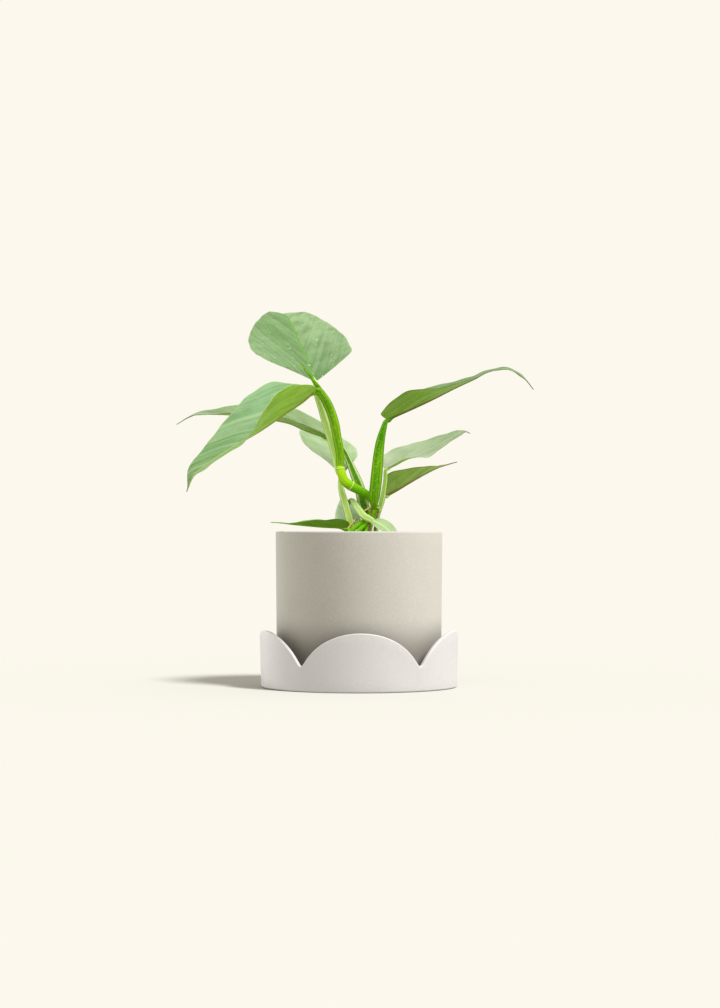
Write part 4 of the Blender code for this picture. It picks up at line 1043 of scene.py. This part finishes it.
def leaf_skin(name, leaf, settings, tissue, colours, rib_width, inputs):
    """A leaf's skin over soft tissue that lets light through. UV map "veins" gives, in metres, where the
    vein through a point leaves the midrib and how far the point is from the midrib. UV map "place" runs
    from 0 at the base to 1 at the tip, and from 0 at the left margin to 1 at the right one."""
    depth, vein, rib = colours
    material, tree, shader = new_material(name)
    veins = add(tree, "UVMap", uv_map="veins")
    vein_parts = add(tree, "SeparateXYZ", {0: veins})
    place = add(tree, "SeparateXYZ", {0: add(tree, "UVMap", uv_map="place")})
    foot, aside = vein_parts.outputs["X"], vein_parts.outputs["Y"]
    along, across = place.outputs["X"], place.outputs["Y"]
    # Along the veins lie streaks 1.3 mm wide and 30 mm long, and bands 9 mm wide and 45 mm long, which come
    # from another place in the noise.
    streak_place = add(tree, "Mapping", {0: veins, "Scale": (1 / (1.3 * MM), 1 / (30 * MM), 1)})
    streaks = add(tree, "TexNoise", {"Vector": streak_place, "Scale": 1.0, "Detail": 2.0})
    band_scale = (1 / (9 * MM), 1 / (45 * MM), 1)
    band_place = add(tree, "Mapping", {0: veins, "Location": (7, 3, 0), "Scale": band_scale})
    bands = add(tree, "TexNoise", {"Vector": band_place, "Scale": 1.0, "Detail": 1.0})
    # Cells are far too small to see. These stand for the fine net of veins, about 1.2 mm wide.
    mesh_place = add(tree, "TexCoord").outputs["Object"]
    net = add(tree, "TexNoise", {"Vector": mesh_place, "Scale": 1 / (1.2 * MM), "Detail": 3.0})
    # A blade is mottled in patches about 12 mm across.
    clouds = add(tree, "TexNoise", {"Vector": mesh_place, "Scale": 1 / (12 * MM), "Detail": 2.0})
    turn = add(tree, "Math", {0: foot, 1: settings.vein_spacing}, operation="DIVIDE")
    from_vein = add(tree, "Math", {0: turn, 1: 0.5}, operation="PINGPONG")
    # Parallel veinlets are about 0.5 mm apart on the real leaf, and drawn 1.4 mm apart so that they show.
    veinlet_turn = add(tree, "Math", {0: turn, 1: settings.vein_spacing / (1.4 * MM)}, operation="MULTIPLY")
    from_veinlet = add(tree, "Math", {0: veinlet_turn, 1: 0.5}, operation="PINGPONG")
    veinlets = add(tree, "MapRange", {"Value": from_veinlet, "From Min": 0.25, "From Max": 0.0})
    veinlet_share = 0.07
    from_rib = add(tree, "Math", {0: aside}, operation="ABSOLUTE")
    left, right = [add(tree, "Mix", {0: along, 1: low, 2: high}, data_type="RGBA") for low, high in tissue]
    layers = [
        (across, 0.46, 0.54, 1, right),
        (from_rib, 6 * MM, 35 * MM, leaf.get("pale_margin", 0), vein),
        (streaks, 0.7, 0.3, 0.16, depth),
        (clouds, 0.6, 0.35, leaf.get("mottle", 0.3), depth),
        (bands, 0.4, 0.7, leaf.get("bands", 0.2), vein),
        (net, 0.45, 0.75, 0.18, vein),
        (from_vein, 0.12, 0, leaf.get("veins", 0.2), vein),
        (veinlets, 0, 1, veinlet_share, vein),
        (from_rib, rib_width * MM, rib_width * MM / 4, 1, rib),
    ]
    edge_change = add(tree, "MapRange", {"Value": along, "From Min": 0.4, "From Max": 0.6})
    for side, (base, tip) in enumerate(leaf["edges"]):
        # The margin's line as a share of the blade's width. It fades over as much again.
        line = 0.5 * MARGIN_LINE / leaf["half_width"][side]
        start, full = (1 - 2 * line, 1 - line) if side else (2 * line, line)
        edge = add(tree, "Mix", {0: edge_change, 1: linear(base), 2: linear(tip)}, data_type="RGBA")
        layers.append((across, start, full, 0.6, edge))
    layers.append((along, 0.93, 1, leaf["dry"], linear("#6E5230")))
    colour = layered(tree, left, layers)
    height = add(tree, "Math", {0: veinlets, 1: -veinlet_share, 2: net}, operation="MULTIPLY_ADD")
    bump = dress(tree, shader, colour, height, 0.15, 0.5, inputs)
    glow = add(tree, "Mix", {0: 0.45, 1: colour, 2: tuple(settings.glow_colour)}, data_type="RGBA")
    through = add(tree, "BsdfTranslucent", {"Color": glow, "Normal": bump})
    both = add(tree, "MixShader", {0: settings.glow, 1: shader.outputs[0], 2: through})
    tree.links.new(both.outputs[0], tree.nodes["Material Output"].inputs["Surface"])
    return material, tree, shader, colour


def waxy_leaf_top(name, leaf, settings):
    """A living leaf's upper face: green under a blue-grey wax bloom that makes it pale and a bit shiny."""
    top, bloom = tuple(settings.top_colour), tuple(settings.bloom_colour)
    tissue = [[between(top, bloom, share) for share in half] for half in leaf["bloom"]]
    for side, (tint, *shares) in enumerate(leaf.get("tint", ())):
        tissue[side] = [between(colour, linear(tint), share) for colour, share in zip(tissue[side], shares)]
    rib = between(tissue[0][0], linear(leaf["rib"]), 0.7)
    colours = (between(top, BLACK, 0.2), between(bloom, WHITE, 0.15), rib)
    inputs = {
        "Roughness": 0.45,
        "Specular IOR Level": 0.3,
        "Sheen Weight": 0.1,
        "Sheen Roughness": 0.5,
        "Sheen Tint": linear("#E6F4EE"),
    }
    material, tree, shader, colour = leaf_skin(name, leaf, settings, tissue, colours, 1, inputs)
    if "specks" in leaf:
        place = add(tree, "TexCoord").outputs["Object"]
        specks = add(tree, "TexVoronoi", {"Vector": place, "Scale": 1 / (5 * MM), "Randomness": 1.0})
        size = add(tree, "MapRange", {"Value": specks.outputs["Color"], "From Min": 0.35, "To Max": 0.22})
        inside = add(tree, "Math", {0: specks.outputs["Distance"], 1: size}, operation="LESS_THAN")
        colour = layered(tree, colour, [(inside, 0, 1, leaf["specks"], linear("#E9F2DC"))])
        tree.links.new(colour.outputs["Result"], shader.inputs["Base Color"])
    return material


def leaf_underside(name, leaf, settings):
    """A living leaf's underside: greener than its upper face, without bloom, bright against the light."""
    light, deep = tuple(settings.light_under_colour), tuple(settings.deep_under_colour)
    tint, tinted = leaf.get("under_tint", ("#000000", 0))
    tissue = [[between(between(light, deep, share), linear(tint), tinted) for share in leaf["deep"]]] * 2
    colours = (deep, between(light, WHITE, 0.15), linear(leaf["keel_colour"]))
    inputs = {"Roughness": 0.5, "Specular IOR Level": 0.15}
    return leaf_skin(name, leaf, settings, tissue, colours, 3, inputs)[0]


def stalk_skin(name, stalk, settings):
    """A living stalk's smooth skin: lengthwise green streaks, pale flecks, and pale wings by a channel."""
    material, tree, shader = new_material(name)
    light, pale = tuple(settings.light_colour), tuple(settings.pale_colour)
    deep = linear(stalk["deep"]) if "deep" in stalk else tuple(settings.deep_colour)
    foot, top = [between(between(light, deep, tone), pale, stalk.get("pale", 0)) for tone in stalk["tone"]]
    parts = add(tree, "SeparateXYZ", {0: add(tree, "UVMap", uv_map="place")})
    way_round = add(tree, "SeparateXYZ", {0: add(tree, "UVMap", uv_map="round")})
    along, turn = parts.outputs["X"], parts.outputs["Y"]
    # Streaks are about 1 mm wide on a stalk 20 mm round, and run a third of its length.
    spot = add(tree, "CombineXYZ", {0: along, 1: way_round.outputs["X"], 2: way_round.outputs["Y"]})
    streak_place = add(tree, "Mapping", {0: spot, "Scale": (3, 3.5, 3.5)})
    streaks = add(tree, "TexNoise", {"Vector": streak_place, "Scale": 1.0, "Detail": 3.0})
    mesh_place = add(tree, "TexCoord").outputs["Object"]
    flecks = add(tree, "TexNoise", {"Vector": mesh_place, "Scale": 1 / (1.3 * MM)})
    layers = [
        (along, *stalk.get("change", (0.1, 0.9)), 1, top),
        (streaks, 0.45, 0.7, 0.35, light),
        (streaks, 0.5, 0.25, 0.5, deep),
        (flecks, 0.52, 0.7, 0.3, between(light, pale, 0.2)),
    ]
    if "groove" in stalk:
        beside = add(tree, "Math", {0: turn, 1: WING_PLACE}, operation="SUBTRACT")
        from_wing = add(tree, "Math", {0: beside}, operation="ABSOLUTE")
        layers.append((from_wing, 0.045, 0.01, stalk.get("wing", 0.7), pale if "pale" in stalk else light))
    colour = layered(tree, foot, layers)
    dress(tree, shader, colour, streaks, 0.2, 0.4, {"Roughness": 0.4, "Specular IOR Level": 0.06})
    return material


def dry_skin(name, low, high, grain):
    """Dead root, bark or scar skin: dull and streaked, with no shine. Its grain is so many mm across."""
    material, tree, shader = new_material(name)
    place = add(tree, "TexCoord").outputs["Object"]
    fleck = add(tree, "TexNoise", {"Vector": place, "Scale": 1 / (grain * MM), "Detail": 4.0})
    colour = layered(tree, low, [(fleck, 0.35, 0.65, 1, high)])
    dress(tree, shader, colour, fleck, 0.2, 0.6, {"Roughness": 0.8})
    return material


def damp_peat(settings):
    """Damp peat and bark, loose and unpressed: dark brown on its crumbs and near black in its gaps, partly
    the peat's own dark and partly painted shade.
    """
    material, tree, shader = new_material("damp_peat_mix")
    base = tuple(settings.colour)
    place = add(tree, "TexCoord").outputs["Object"]
    crumbs = add(tree, "TexNoise", {"Vector": place, "Scale": 1 / (3 * MM), "Detail": 5.0})
    fibres = add(tree, "TexNoise", {"Vector": place, "Scale": 1 / (0.9 * MM), "Detail": 3.0})
    # The soil goes towards black where the crumbs' relief is low: partly the damp peat's own dark, partly
    # painted shade in the hollows.
    layers = [(crumbs, 0.35, 0.65, 1, base), (fibres, 0.6, 0.8, 0.5, linear("#7B5C40"))]
    colour = layered(tree, between(base, BLACK, 0.6), layers)
    dress(tree, shader, colour, crumbs, 1, 0.8, {"Roughness": 0.9})
    return material


def number_property(name, description, default, **limits):
    return bpy.props.FloatProperty(name=name, description=description, default=default, min=0.0, **limits)


def length_property(name, description, default):
    return number_property(name, description, default, unit="LENGTH")


def colour_property(name, description, default):
    limits = {"default": linear(default), "subtype": "COLOR", "size": 4, "min": 0.0, "max": 1.0}
    return bpy.props.FloatVectorProperty(name=name, description=description, **limits)


class PotSettings(bpy.types.PropertyGroup):
    rim_radius: length_property("Rim Radius", "Outer radius of the pot at its rim", POT_HIGH.x)
    foot_radius: length_property("Foot Radius", "Outer radius of the pot at its foot", POT_HIGH.x - TAPER)
    wall: length_property("Wall", "Thickness of the pot's wall", 0.004)
    floor: length_property("Floor", "Thickness of the pot's floor", 0.005)
    foot_height: length_property("Foot Height", "Height of the pot's foot above the table", POT_LOW.z)
    rim_height: length_property("Rim Height", "Height of the pot's rim above the table", POT_HIGH.z)
    drain_radius: length_property("Drain Radius", "Radius of the hole in the pot's floor", 0.006)
    colour: colour_property("Glaze", "Colour of the pot's matt glaze", "#A5A29A")


class SaucerSettings(bpy.types.PropertyGroup):
    rim_radius: length_property("Rim Radius", "Outer radius of the saucer at its rim", SAUCER_HIGH.x)
    foot_radius: length_property("Foot Radius", "Outer radius of the saucer's foot", SAUCER_HIGH.x - TAPER)
    wall: length_property("Wall", "Thickness of the saucer's wall", 0.003)
    floor: length_property("Floor", "Thickness of the saucer's floor", 0.0035)
    peak: length_property("Scallop Height", "Height of each scallop's middle", SAUCER_HIGH.z)
    valley: length_property("Valley Height", "Height of the rim between two scallops", 0.0123)
    colour: colour_property("Glaze", "Colour of the saucer's satin glaze", "#B2AFAF")


class SoilSettings(bpy.types.PropertyGroup):
    radius: length_property("Radius", "Radius of the soil's surface", SOIL_HIGH.x)
    height: length_property("Height", "Height of the soil's surface above the table", SOIL_HIGH.z)
    crumb: length_property("Crumb Size", "Radius of a middling crumb", 0.0011)
    crumbs: bpy.props.IntProperty(
        name="Crumbs", description="How many crumbs lie on the soil", default=1500, min=0
    )
    colour: colour_property("Soil", "Colour of the damp soil", "#4A3526")


class StalkSettings(bpy.types.PropertyGroup):
    ring_spacing: length_property("Ring Spacing", "Distance between rings of points along a stalk", 0.0009)
    light_colour: colour_property("Light Green", "Colour of young stalks and of the streaks", "#A4D216")
    deep_colour: colour_property("Deep Green", "Colour of older stalks", "#468404")
    pale_colour: colour_property("Pale Green", "Colour of flecks and of a channel's wings", "#DCE8AE")
    scar_colour: colour_property("Scars", "Colour of the rings round the stem", "#BCCB55")
    root_colour: colour_property("Roots", "Colour of the aerial roots", "#8A5A34")


class LeafSettings(bpy.types.PropertyGroup):
    blade_thickness: length_property("Thickness", "Thickness of a blade beside its midrib", 0.00045)
    vein_spacing: length_property("Vein Spacing", "Distance between side veins along the midrib", 0.0075)
    vein_depth: length_property("Vein Depth", "How deep a side vein is pressed into the blade", 0.0002)
    wave_height: length_property("Wave Height", "Height of the waves along a margin", 0.0004)
    top_colour: colour_property("Upper Face", "Colour of an upper face with no bloom", "#5A7F40")
    bloom_colour: colour_property("Bloom", "Colour of an upper face under full bloom", "#A9BD96")
    light_under_colour: colour_property("Light Underside", "Colour of the lightest underside", "#9DCC42")
    deep_under_colour: colour_property("Deep Underside", "Colour of the darkest underside", "#4A6B22")
    glow_colour: colour_property("Glow", "Colour of light that has come through a blade", "#C2E640")
    glow: number_property(
        "Glow Share", "Share of light that goes through a blade", 0.3, max=1.0, subtype="FACTOR"
    )


class StageSettings(bpy.types.PropertyGroup):
    backdrop_colour: colour_property("Backdrop", "Colour of the lit backdrop", "#FCF8ED")
    key_strength: number_property("Key Light", "Strength of the key light", 5.0)
    rim_strength: number_property("Rim Light", "Strength of the rim light", 1.5)
    fill_strength: number_property("Saucer Fill", "Strength of the light on the saucer's shaded side", 0.4)
    plant_strength: number_property("Plant Light", "Strength of the plant's own soft light", 3.0)
    floor_strength: number_property("Floor Light", "Strength of the light that draws the shadow", 5.6)
    lens: number_property("Lens", "Focal length of the camera", 82.54, unit="CAMERA")
    distance: length_property("Distance", "Distance of the camera from the pot's axis", 1.665)
    eye_height: length_property("Eye Height", "Height of the camera above the table", 0.1116)


class PLANT_OT_saucer(bpy.types.Operator):
    """Make the saucer with its scalloped rim"""

    bl_idname = "plant.saucer"
    bl_label = "Saucer"

    def execute(self, context):
        settings = context.scene.plant_saucer
        foot, rim, wall, floor, peak, valley = in_mm(
            settings, "foot_radius", "rim_radius", "wall", "floor", "peak", "valley"
        )
        inner = foot - wall
        steps = 72
        half = math.pi / SCALLOPS
        # The rim's slope is measured this far to each side, in radians.
        nearby = 0.002
        outer_foot = [(0, 0), (foot * 0.5, 0), (foot - 5, 0)]
        outer_foot += arc((foot - FOOT_ROUNDING, FOOT_ROUNDING), FOOT_ROUNDING, -90, 0, 4)
        outer_foot = [(r, 0, z) for r, z in outer_foot]
        inner_foot = arc((inner - SAUCER_CORNER, floor + SAUCER_CORNER), SAUCER_CORNER, 0, -90, 5)
        inner_foot += [(inner * 0.85, floor), (inner * 0.5, floor), (0, floor)]
        inner_foot = [(r, 0, z) for r, z in inner_foot]
        rows = []
        for i in range(SCALLOPS * steps):
            # Steps are shorter near the valleys, where the rim turns fastest.
            share = math.sin((2 * (i % steps) / steps - 1) * math.pi / 2)
            angle = SCALLOP_TURN + 2 * half * (i // steps) + half * share
            rise = crest_height(angle + nearby, peak, valley) - crest_height(angle - nearby, peak, valley)
            slope = rise / (2 * nearby * rim)
            lean = math.hypot(1, slope)
            crest = crest_height(angle, peak, valley)
            # A profile's points are (radius, distance round the rim, height), since the rim's rounding is
            # square to its slope.
            outer_top = (rim, slope / lean * RIM_ROUNDING, crest - RIM_ROUNDING / lean)
            profile = outer_foot + spaced(outer_foot[-1], outer_top, 6)
            for turn in np.radians(np.linspace(0, 180, 14)):
                back = RIM_ROUNDING * (1 - math.sin(turn))
                inward = RIM_ROUNDING * (1 - math.cos(turn))
                inward += (wall - 2 * RIM_ROUNDING) * (turn > math.pi / 2)
                profile.append((rim - inward, slope / lean * back, crest - back / lean))
            profile += spaced(profile[-1], inner_foot[0], 6) + inner_foot
            turned_by = [angle + along / rim for _, along, _ in profile]
            rows.append([(r * math.cos(t), r * math.sin(t), z) for (r, _, z), t in zip(profile, turned_by)])
        points = np.array(rows)
        index = numbered(*points.shape[:2])
        index[:, 0], index[:, -1] = index[0, 0], index[0, -1]
        there = np.roll(index, -1, axis=0)
        quads = np.stack([index[:, :-1], there[:, :-1], there[:, 1:], index[:, 1:]], -1).reshape(-1, 4)
        used, places = np.unique(quads, return_inverse=True)
        faces = [list(dict.fromkeys(quad)) for quad in places.reshape(-1, 4).tolist()]
        points = points.reshape(-1, 3)[used]
        make_piece("scalloped_saucer", points, faces, [satin_earthenware(settings)], replaced="saucer")
        return {"FINISHED"}


class PLANT_OT_pot(bpy.types.Operator):
    """Make the pot, a straight cylinder with softly rounded edges"""

    bl_idname = "plant.pot"
    bl_label = "Pot"

    def execute(self, context):
        settings = context.scene.plant_pot
        rim, foot, low, high = in_mm(settings, "rim_radius", "foot_radius", "foot_height", "rim_height")
        wall, floor, drain = in_mm(settings, "wall", "floor", "drain_radius")
        top = low + floor
        # The wall has leaned out by 0.05 mm where it meets the floor.
        inner = foot + 0.05 - wall
        # The underside is sunk by 1.5 mm inside a foot ring 5.6 mm wide.
        profile = [(drain, low + 1.5), (foot * 0.5, low + 1.5), (foot - 8, low + 1.5)]
        profile += [(foot - 7, low + 1.1), (foot - 6.2, low + 0.3), (foot - 5.6, low)]
        profile += arc((foot - FOOT_ROUNDING, low + FOOT_ROUNDING), FOOT_ROUNDING, -90, 0, 5)
        outer, lip = POT_OUTER_ROUNDING, POT_LIP_ROUNDING
        profile += spaced((foot, low + FOOT_ROUNDING), (rim, high - outer), 10)
        profile += arc((rim - outer, high - outer), outer, 0, 90, 8)
        profile += arc((rim - wall + lip, high - lip), lip, 90, 180, 8)
        profile += spaced((rim - wall, high - lip), (inner, top + POT_CORNER), 8)
        profile += arc((inner - POT_CORNER, top + POT_CORNER), POT_CORNER, 0, -90, 4)
        # The drain hole's upper edge is bevelled by 0.6 mm.
        profile += [(foot * 0.5, top), (drain + 0.6, top), (drain, top - 0.6)]
        points, faces = turned(profile, 224)
        make_piece("stoneware_pot", points, faces, [matt_stoneware(settings)], replaced="pot")
        return {"FINISHED"}


class PLANT_OT_soil(bpy.types.Operator):
    """Make the soil, with its uneven top and loose crumbs"""

    bl_idname = "plant.soil"
    bl_label = "Soil"

    def execute(self, context):
        settings = context.scene.plant_soil
        radius, height, crumb = in_mm(settings, "radius", "height", "crumb")
        rings, sides = 70, 180
        angle = np.linspace(0, 2 * np.pi, sides, endpoint=False)
        points = [(0, 0, height)]
        for ring in range(1, rings + 1):
            reach = radius * ring / rings
            for a in angle:
                x, y = reach * math.cos(a), reach * math.sin(a)
                rough = noise.fractal(Vector((x, y, 3.0)) / SOIL_WAVE, 0.9, 2.0, 4)
                points.append((x, y, height + SOIL_ROUGHNESS * rough * min(1, (rings - ring) / 3)))
        # The bed's side goes down so far, and draws in at its foot.
        for drop, shrink in ((4, 0), (12, 0.2)):
            reach = radius - shrink
            points += [(reach * math.cos(a), reach * math.sin(a), height - drop) for a in angle]
        index = numbered(rings + 2, sides, 1)
        faces = round_faces(index).tolist()
        faces += np.stack([np.zeros(sides, int), index[0], np.roll(index[0], -1)], -1).tolist()
        faces.append(index[-1, ::-1].tolist())
        peat = damp_peat(settings)
        bark = dry_skin("pine_bark_chips", linear("#3B2416"), linear("#7A4E30"), 2)
        perlite = dry_skin("perlite_grains", linear("#B9B3A6"), linear("#E4E0D6"), 1)
        make_piece("soil_bed", points, faces, [peat], replaced="soil")
        for seed, (name, count, size, material) in enumerate(
            (
                ("soil_crumbs", settings.crumbs, crumb, peat),
                ("soil_bark", settings.crumbs // 12, crumb * 2, bark),
                ("soil_perlite", settings.crumbs // 30, crumb * 0.9, perlite),
            ),
            SEED + 1,
        ):
            points, faces = scattered_lumps(count, size, radius, height, seed)
            make_piece(name, points, faces, [material])
        return {"FINISHED"}


class PLANT_OT_stalks(bpy.types.Operator):
    """Make the stem, the petioles, the rolled young leaf and the aerial roots"""

    bl_idname = "plant.stalks"
    bl_label = "Stalks"

    def execute(self, context):
        settings = context.scene.plant_stalks
        spacing = settings.ring_spacing / MM
        for name, stalk in STALKS.items():
            parts = [tube(stalk_points(name, stalk), 28, spacing, stalk.get("groove", 0.0))]
            if name == "stem":
                parts += [tube(points, 20, spacing) for points in SHEATHS]
            points, faces, maps = joined(parts)
            skin = stalk_skin(f"{name}_skin", stalk, settings)
            make_piece(f"{name}_live", points, faces, [skin], maps, replaced=name)
        scars = dry_skin("leaf_scars", tuple(settings.scar_colour), linear("#E2E9A6"), 1.2)
        points, faces, _ = joined([scar_ring(*scar) for scar in SCARS])
        make_piece("stem_scars", points, faces, [scars])
        brown = dry_skin("root_skin", tuple(settings.root_colour), linear("#4E3620"), 1.5)
        yellow = dry_skin("young_root_skin", linear("#DCC46E"), linear("#B59A48"), 1.5)
        for number, (name, points) in enumerate(ROOTS.items()):
            skin = yellow if name == "root_left" else brown
            points, faces, _ = tube(points, 12, ROOT_SPACING, roughness=ROOT_ROUGHNESS, seed=number)
            make_piece(f"{name}_live", points, faces, [skin], replaced=name)
        return {"FINISHED"}


class PLANT_OT_leaves(bpy.types.Operator):
    """Make the ten blades"""

    bl_idname = "plant.leaves"
    bl_label = "Leaves"

    def execute(self, context):
        for place, leaf in LEAVES.items():
            blade_piece(place, leaf, context.scene.plant_leaves)
        return {"FINISHED"}


class PLANT_OT_stage(bpy.types.Operator):
    """Set the floor, the lights and the camera"""

    bl_idname = "plant.stage"
    bl_label = "Stage"

    def execute(self, context):
        settings = context.scene.plant_stage
        scene = context.scene
        scene.view_settings.view_transform = "Standard"
        backdrop = tuple(settings.backdrop_colour)
        world = bpy.data.worlds.new("studio")
        world.use_nodes = True
        world.node_tree.nodes["Background"].inputs["Color"].default_value = backdrop
        scene.world = world
        made = [thing for thing in scene.objects if thing.type == "MESH"]
        # The floor's own light comes at such an elevation that a shadow is as long as its thing is tall.
        floor_elevation = 45
        floor = self.floor(scene, backdrop, settings.floor_strength, floor_elevation)
        pot = [thing for thing in made if thing.name == "stoneware_pot"]
        saucer = [thing for thing in made if thing.name == "scalloped_saucer"]
        plant = [thing for thing in made if thing.name.split("_")[0] in PLANT_PARTS]
        blades = [thing for thing in plant if thing.name.startswith("blade_")]
        # The plant has a softer light of its own, which goes through its blades, as much of it does
        # through real ones. A light that pot and saucer share reaches the saucer in some runs only, so
        # each has its own. A row is a name, a strength, the azimuth, elevation and spread in degrees,
        # what the light falls on and what casts no shadow in it.
        for name, strength, azimuth, elevation, spread, lit_things, passed in (
            ("pot_key", settings.key_strength, 68, 50, 20, pot, []),
            ("pot_rim", settings.rim_strength, -128, 12, 50, pot, []),
            ("saucer_key", settings.key_strength, 68, 50, 20, saucer, []),
            ("saucer_rim", settings.rim_strength, -128, 12, 50, saucer, []),
            ("saucer_fill", settings.fill_strength, -25, 5, 60, saucer, plant),
            ("plant_light", settings.plant_strength, 20, 65, 60, plant, blades),
            ("floor_light", settings.floor_strength, 45, floor_elevation, 14, [floor], plant),
        ):
            light = bpy.data.lights.new(name, "SUN")
            light.energy = strength
            light.angle = math.radians(spread)
            turn, rise = math.radians(azimuth), math.radians(elevation)
            toward = Vector((math.sin(turn), -math.cos(turn), math.tan(rise)))
            lamp = bpy.data.objects.new(name, light)
            lamp.rotation_euler = toward.to_track_quat("Z", "Y").to_euler()
            scene.collection.objects.link(lamp)
            reached = bpy.data.collections.new(f"{name}_reach")
            for thing in lit_things:
                reached.objects.link(thing)
            lamp.light_linking.receiver_collection = reached
            shading = bpy.data.collections.new(f"{name}_shading")
            for thing in made:
                if thing not in passed:
                    shading.objects.link(thing)
            lamp.light_linking.blocker_collection = shading
        camera_data = bpy.data.cameras.new("camera")
        camera_data.sensor_fit = "VERTICAL"
        camera_data.sensor_height = 36
        camera_data.lens = settings.lens
        camera = bpy.data.objects.new("camera", camera_data)
        camera.location = (CAMERA_ASIDE * MM, -settings.distance, settings.eye_height)
        camera.rotation_euler = (math.radians(90 + CAMERA_RISE), 0, 0)
        scene.collection.objects.link(camera)
        scene.camera = camera
        return {"FINISHED"}

    def floor(self, scene, backdrop, strength, elevation):
        """A floor that melts into the backdrop. Only the world and one light reach it, alike everywhere,
        so one colour gives it the backdrop's brightness."""
        lit = strength * math.sin(math.radians(elevation)) / math.pi
        material, _, shader = new_material("matt_paper_floor")
        shader.inputs["Base Color"].default_value = (*(c / (c + lit) for c in backdrop[:3]), 1.0)
        shader.inputs["Roughness"].default_value = 1
        shader.inputs["Specular IOR Level"].default_value = 0
        data = bpy.data.meshes.new("floor")
        corners = [(x * FLOOR_REACH, y * FLOOR_REACH, 0) for x, y in ((-1, -1), (1, -1), (1, 1), (-1, 1))]
        data.from_pydata(corners, [], [(0, 1, 2, 3)])
        data.materials.append(material)
        floor = bpy.data.objects.new("floor", data)
        floor.location.z = -FLOOR_GAP * MM
        scene.collection.objects.link(floor)
        return floor


class PLANT_PT_panel(bpy.types.Panel):
    """Lists the steps that build the plant"""

    bl_idname = "PLANT_PT_panel"
    bl_label = "Potted Philodendron"
    bl_space_type = "VIEW_3D"
    bl_region_type = "UI"
    bl_category = "Plant"

    def draw(self, context):
        for operator in OPERATORS:
            self.layout.operator(operator.bl_idname)
        for name, group in SETTINGS.items():
            box = self.layout.box()
            box.label(text=name.replace("plant_", "").title())
            for key in group.__annotations__:
                box.prop(getattr(context.scene, name), key)


OPERATORS = (
    PLANT_OT_saucer,
    PLANT_OT_pot,
    PLANT_OT_soil,
    PLANT_OT_stalks,
    PLANT_OT_leaves,
    PLANT_OT_stage,
)
SETTINGS = {
    "plant_saucer": SaucerSettings,
    "plant_pot": PotSettings,
    "plant_soil": SoilSettings,
    "plant_stalks": StalkSettings,
    "plant_leaves": LeafSettings,
    "plant_stage": StageSettings,
}


def register():
    for group in SETTINGS.values():
        bpy.utils.register_class(group)
    for name, group in SETTINGS.items():
        setattr(bpy.types.Scene, name, bpy.props.PointerProperty(type=group))
    for operator in (*OPERATORS, PLANT_PT_panel):
        bpy.utils.register_class(operator)


def unregister():
    for operator in (PLANT_PT_panel, *reversed(OPERATORS)):
        bpy.utils.unregister_class(operator)
    for name, group in SETTINGS.items():
        delattr(bpy.types.Scene, name)
        bpy.utils.unregister_class(group)


def main():
    register()
    bpy.ops.plant.saucer()
    bpy.ops.plant.pot()
    bpy.ops.plant.soil()
    bpy.ops.plant.stalks()
    bpy.ops.plant.leaves()
    bpy.ops.plant.stage()


if __name__ == "__main__":
    main()
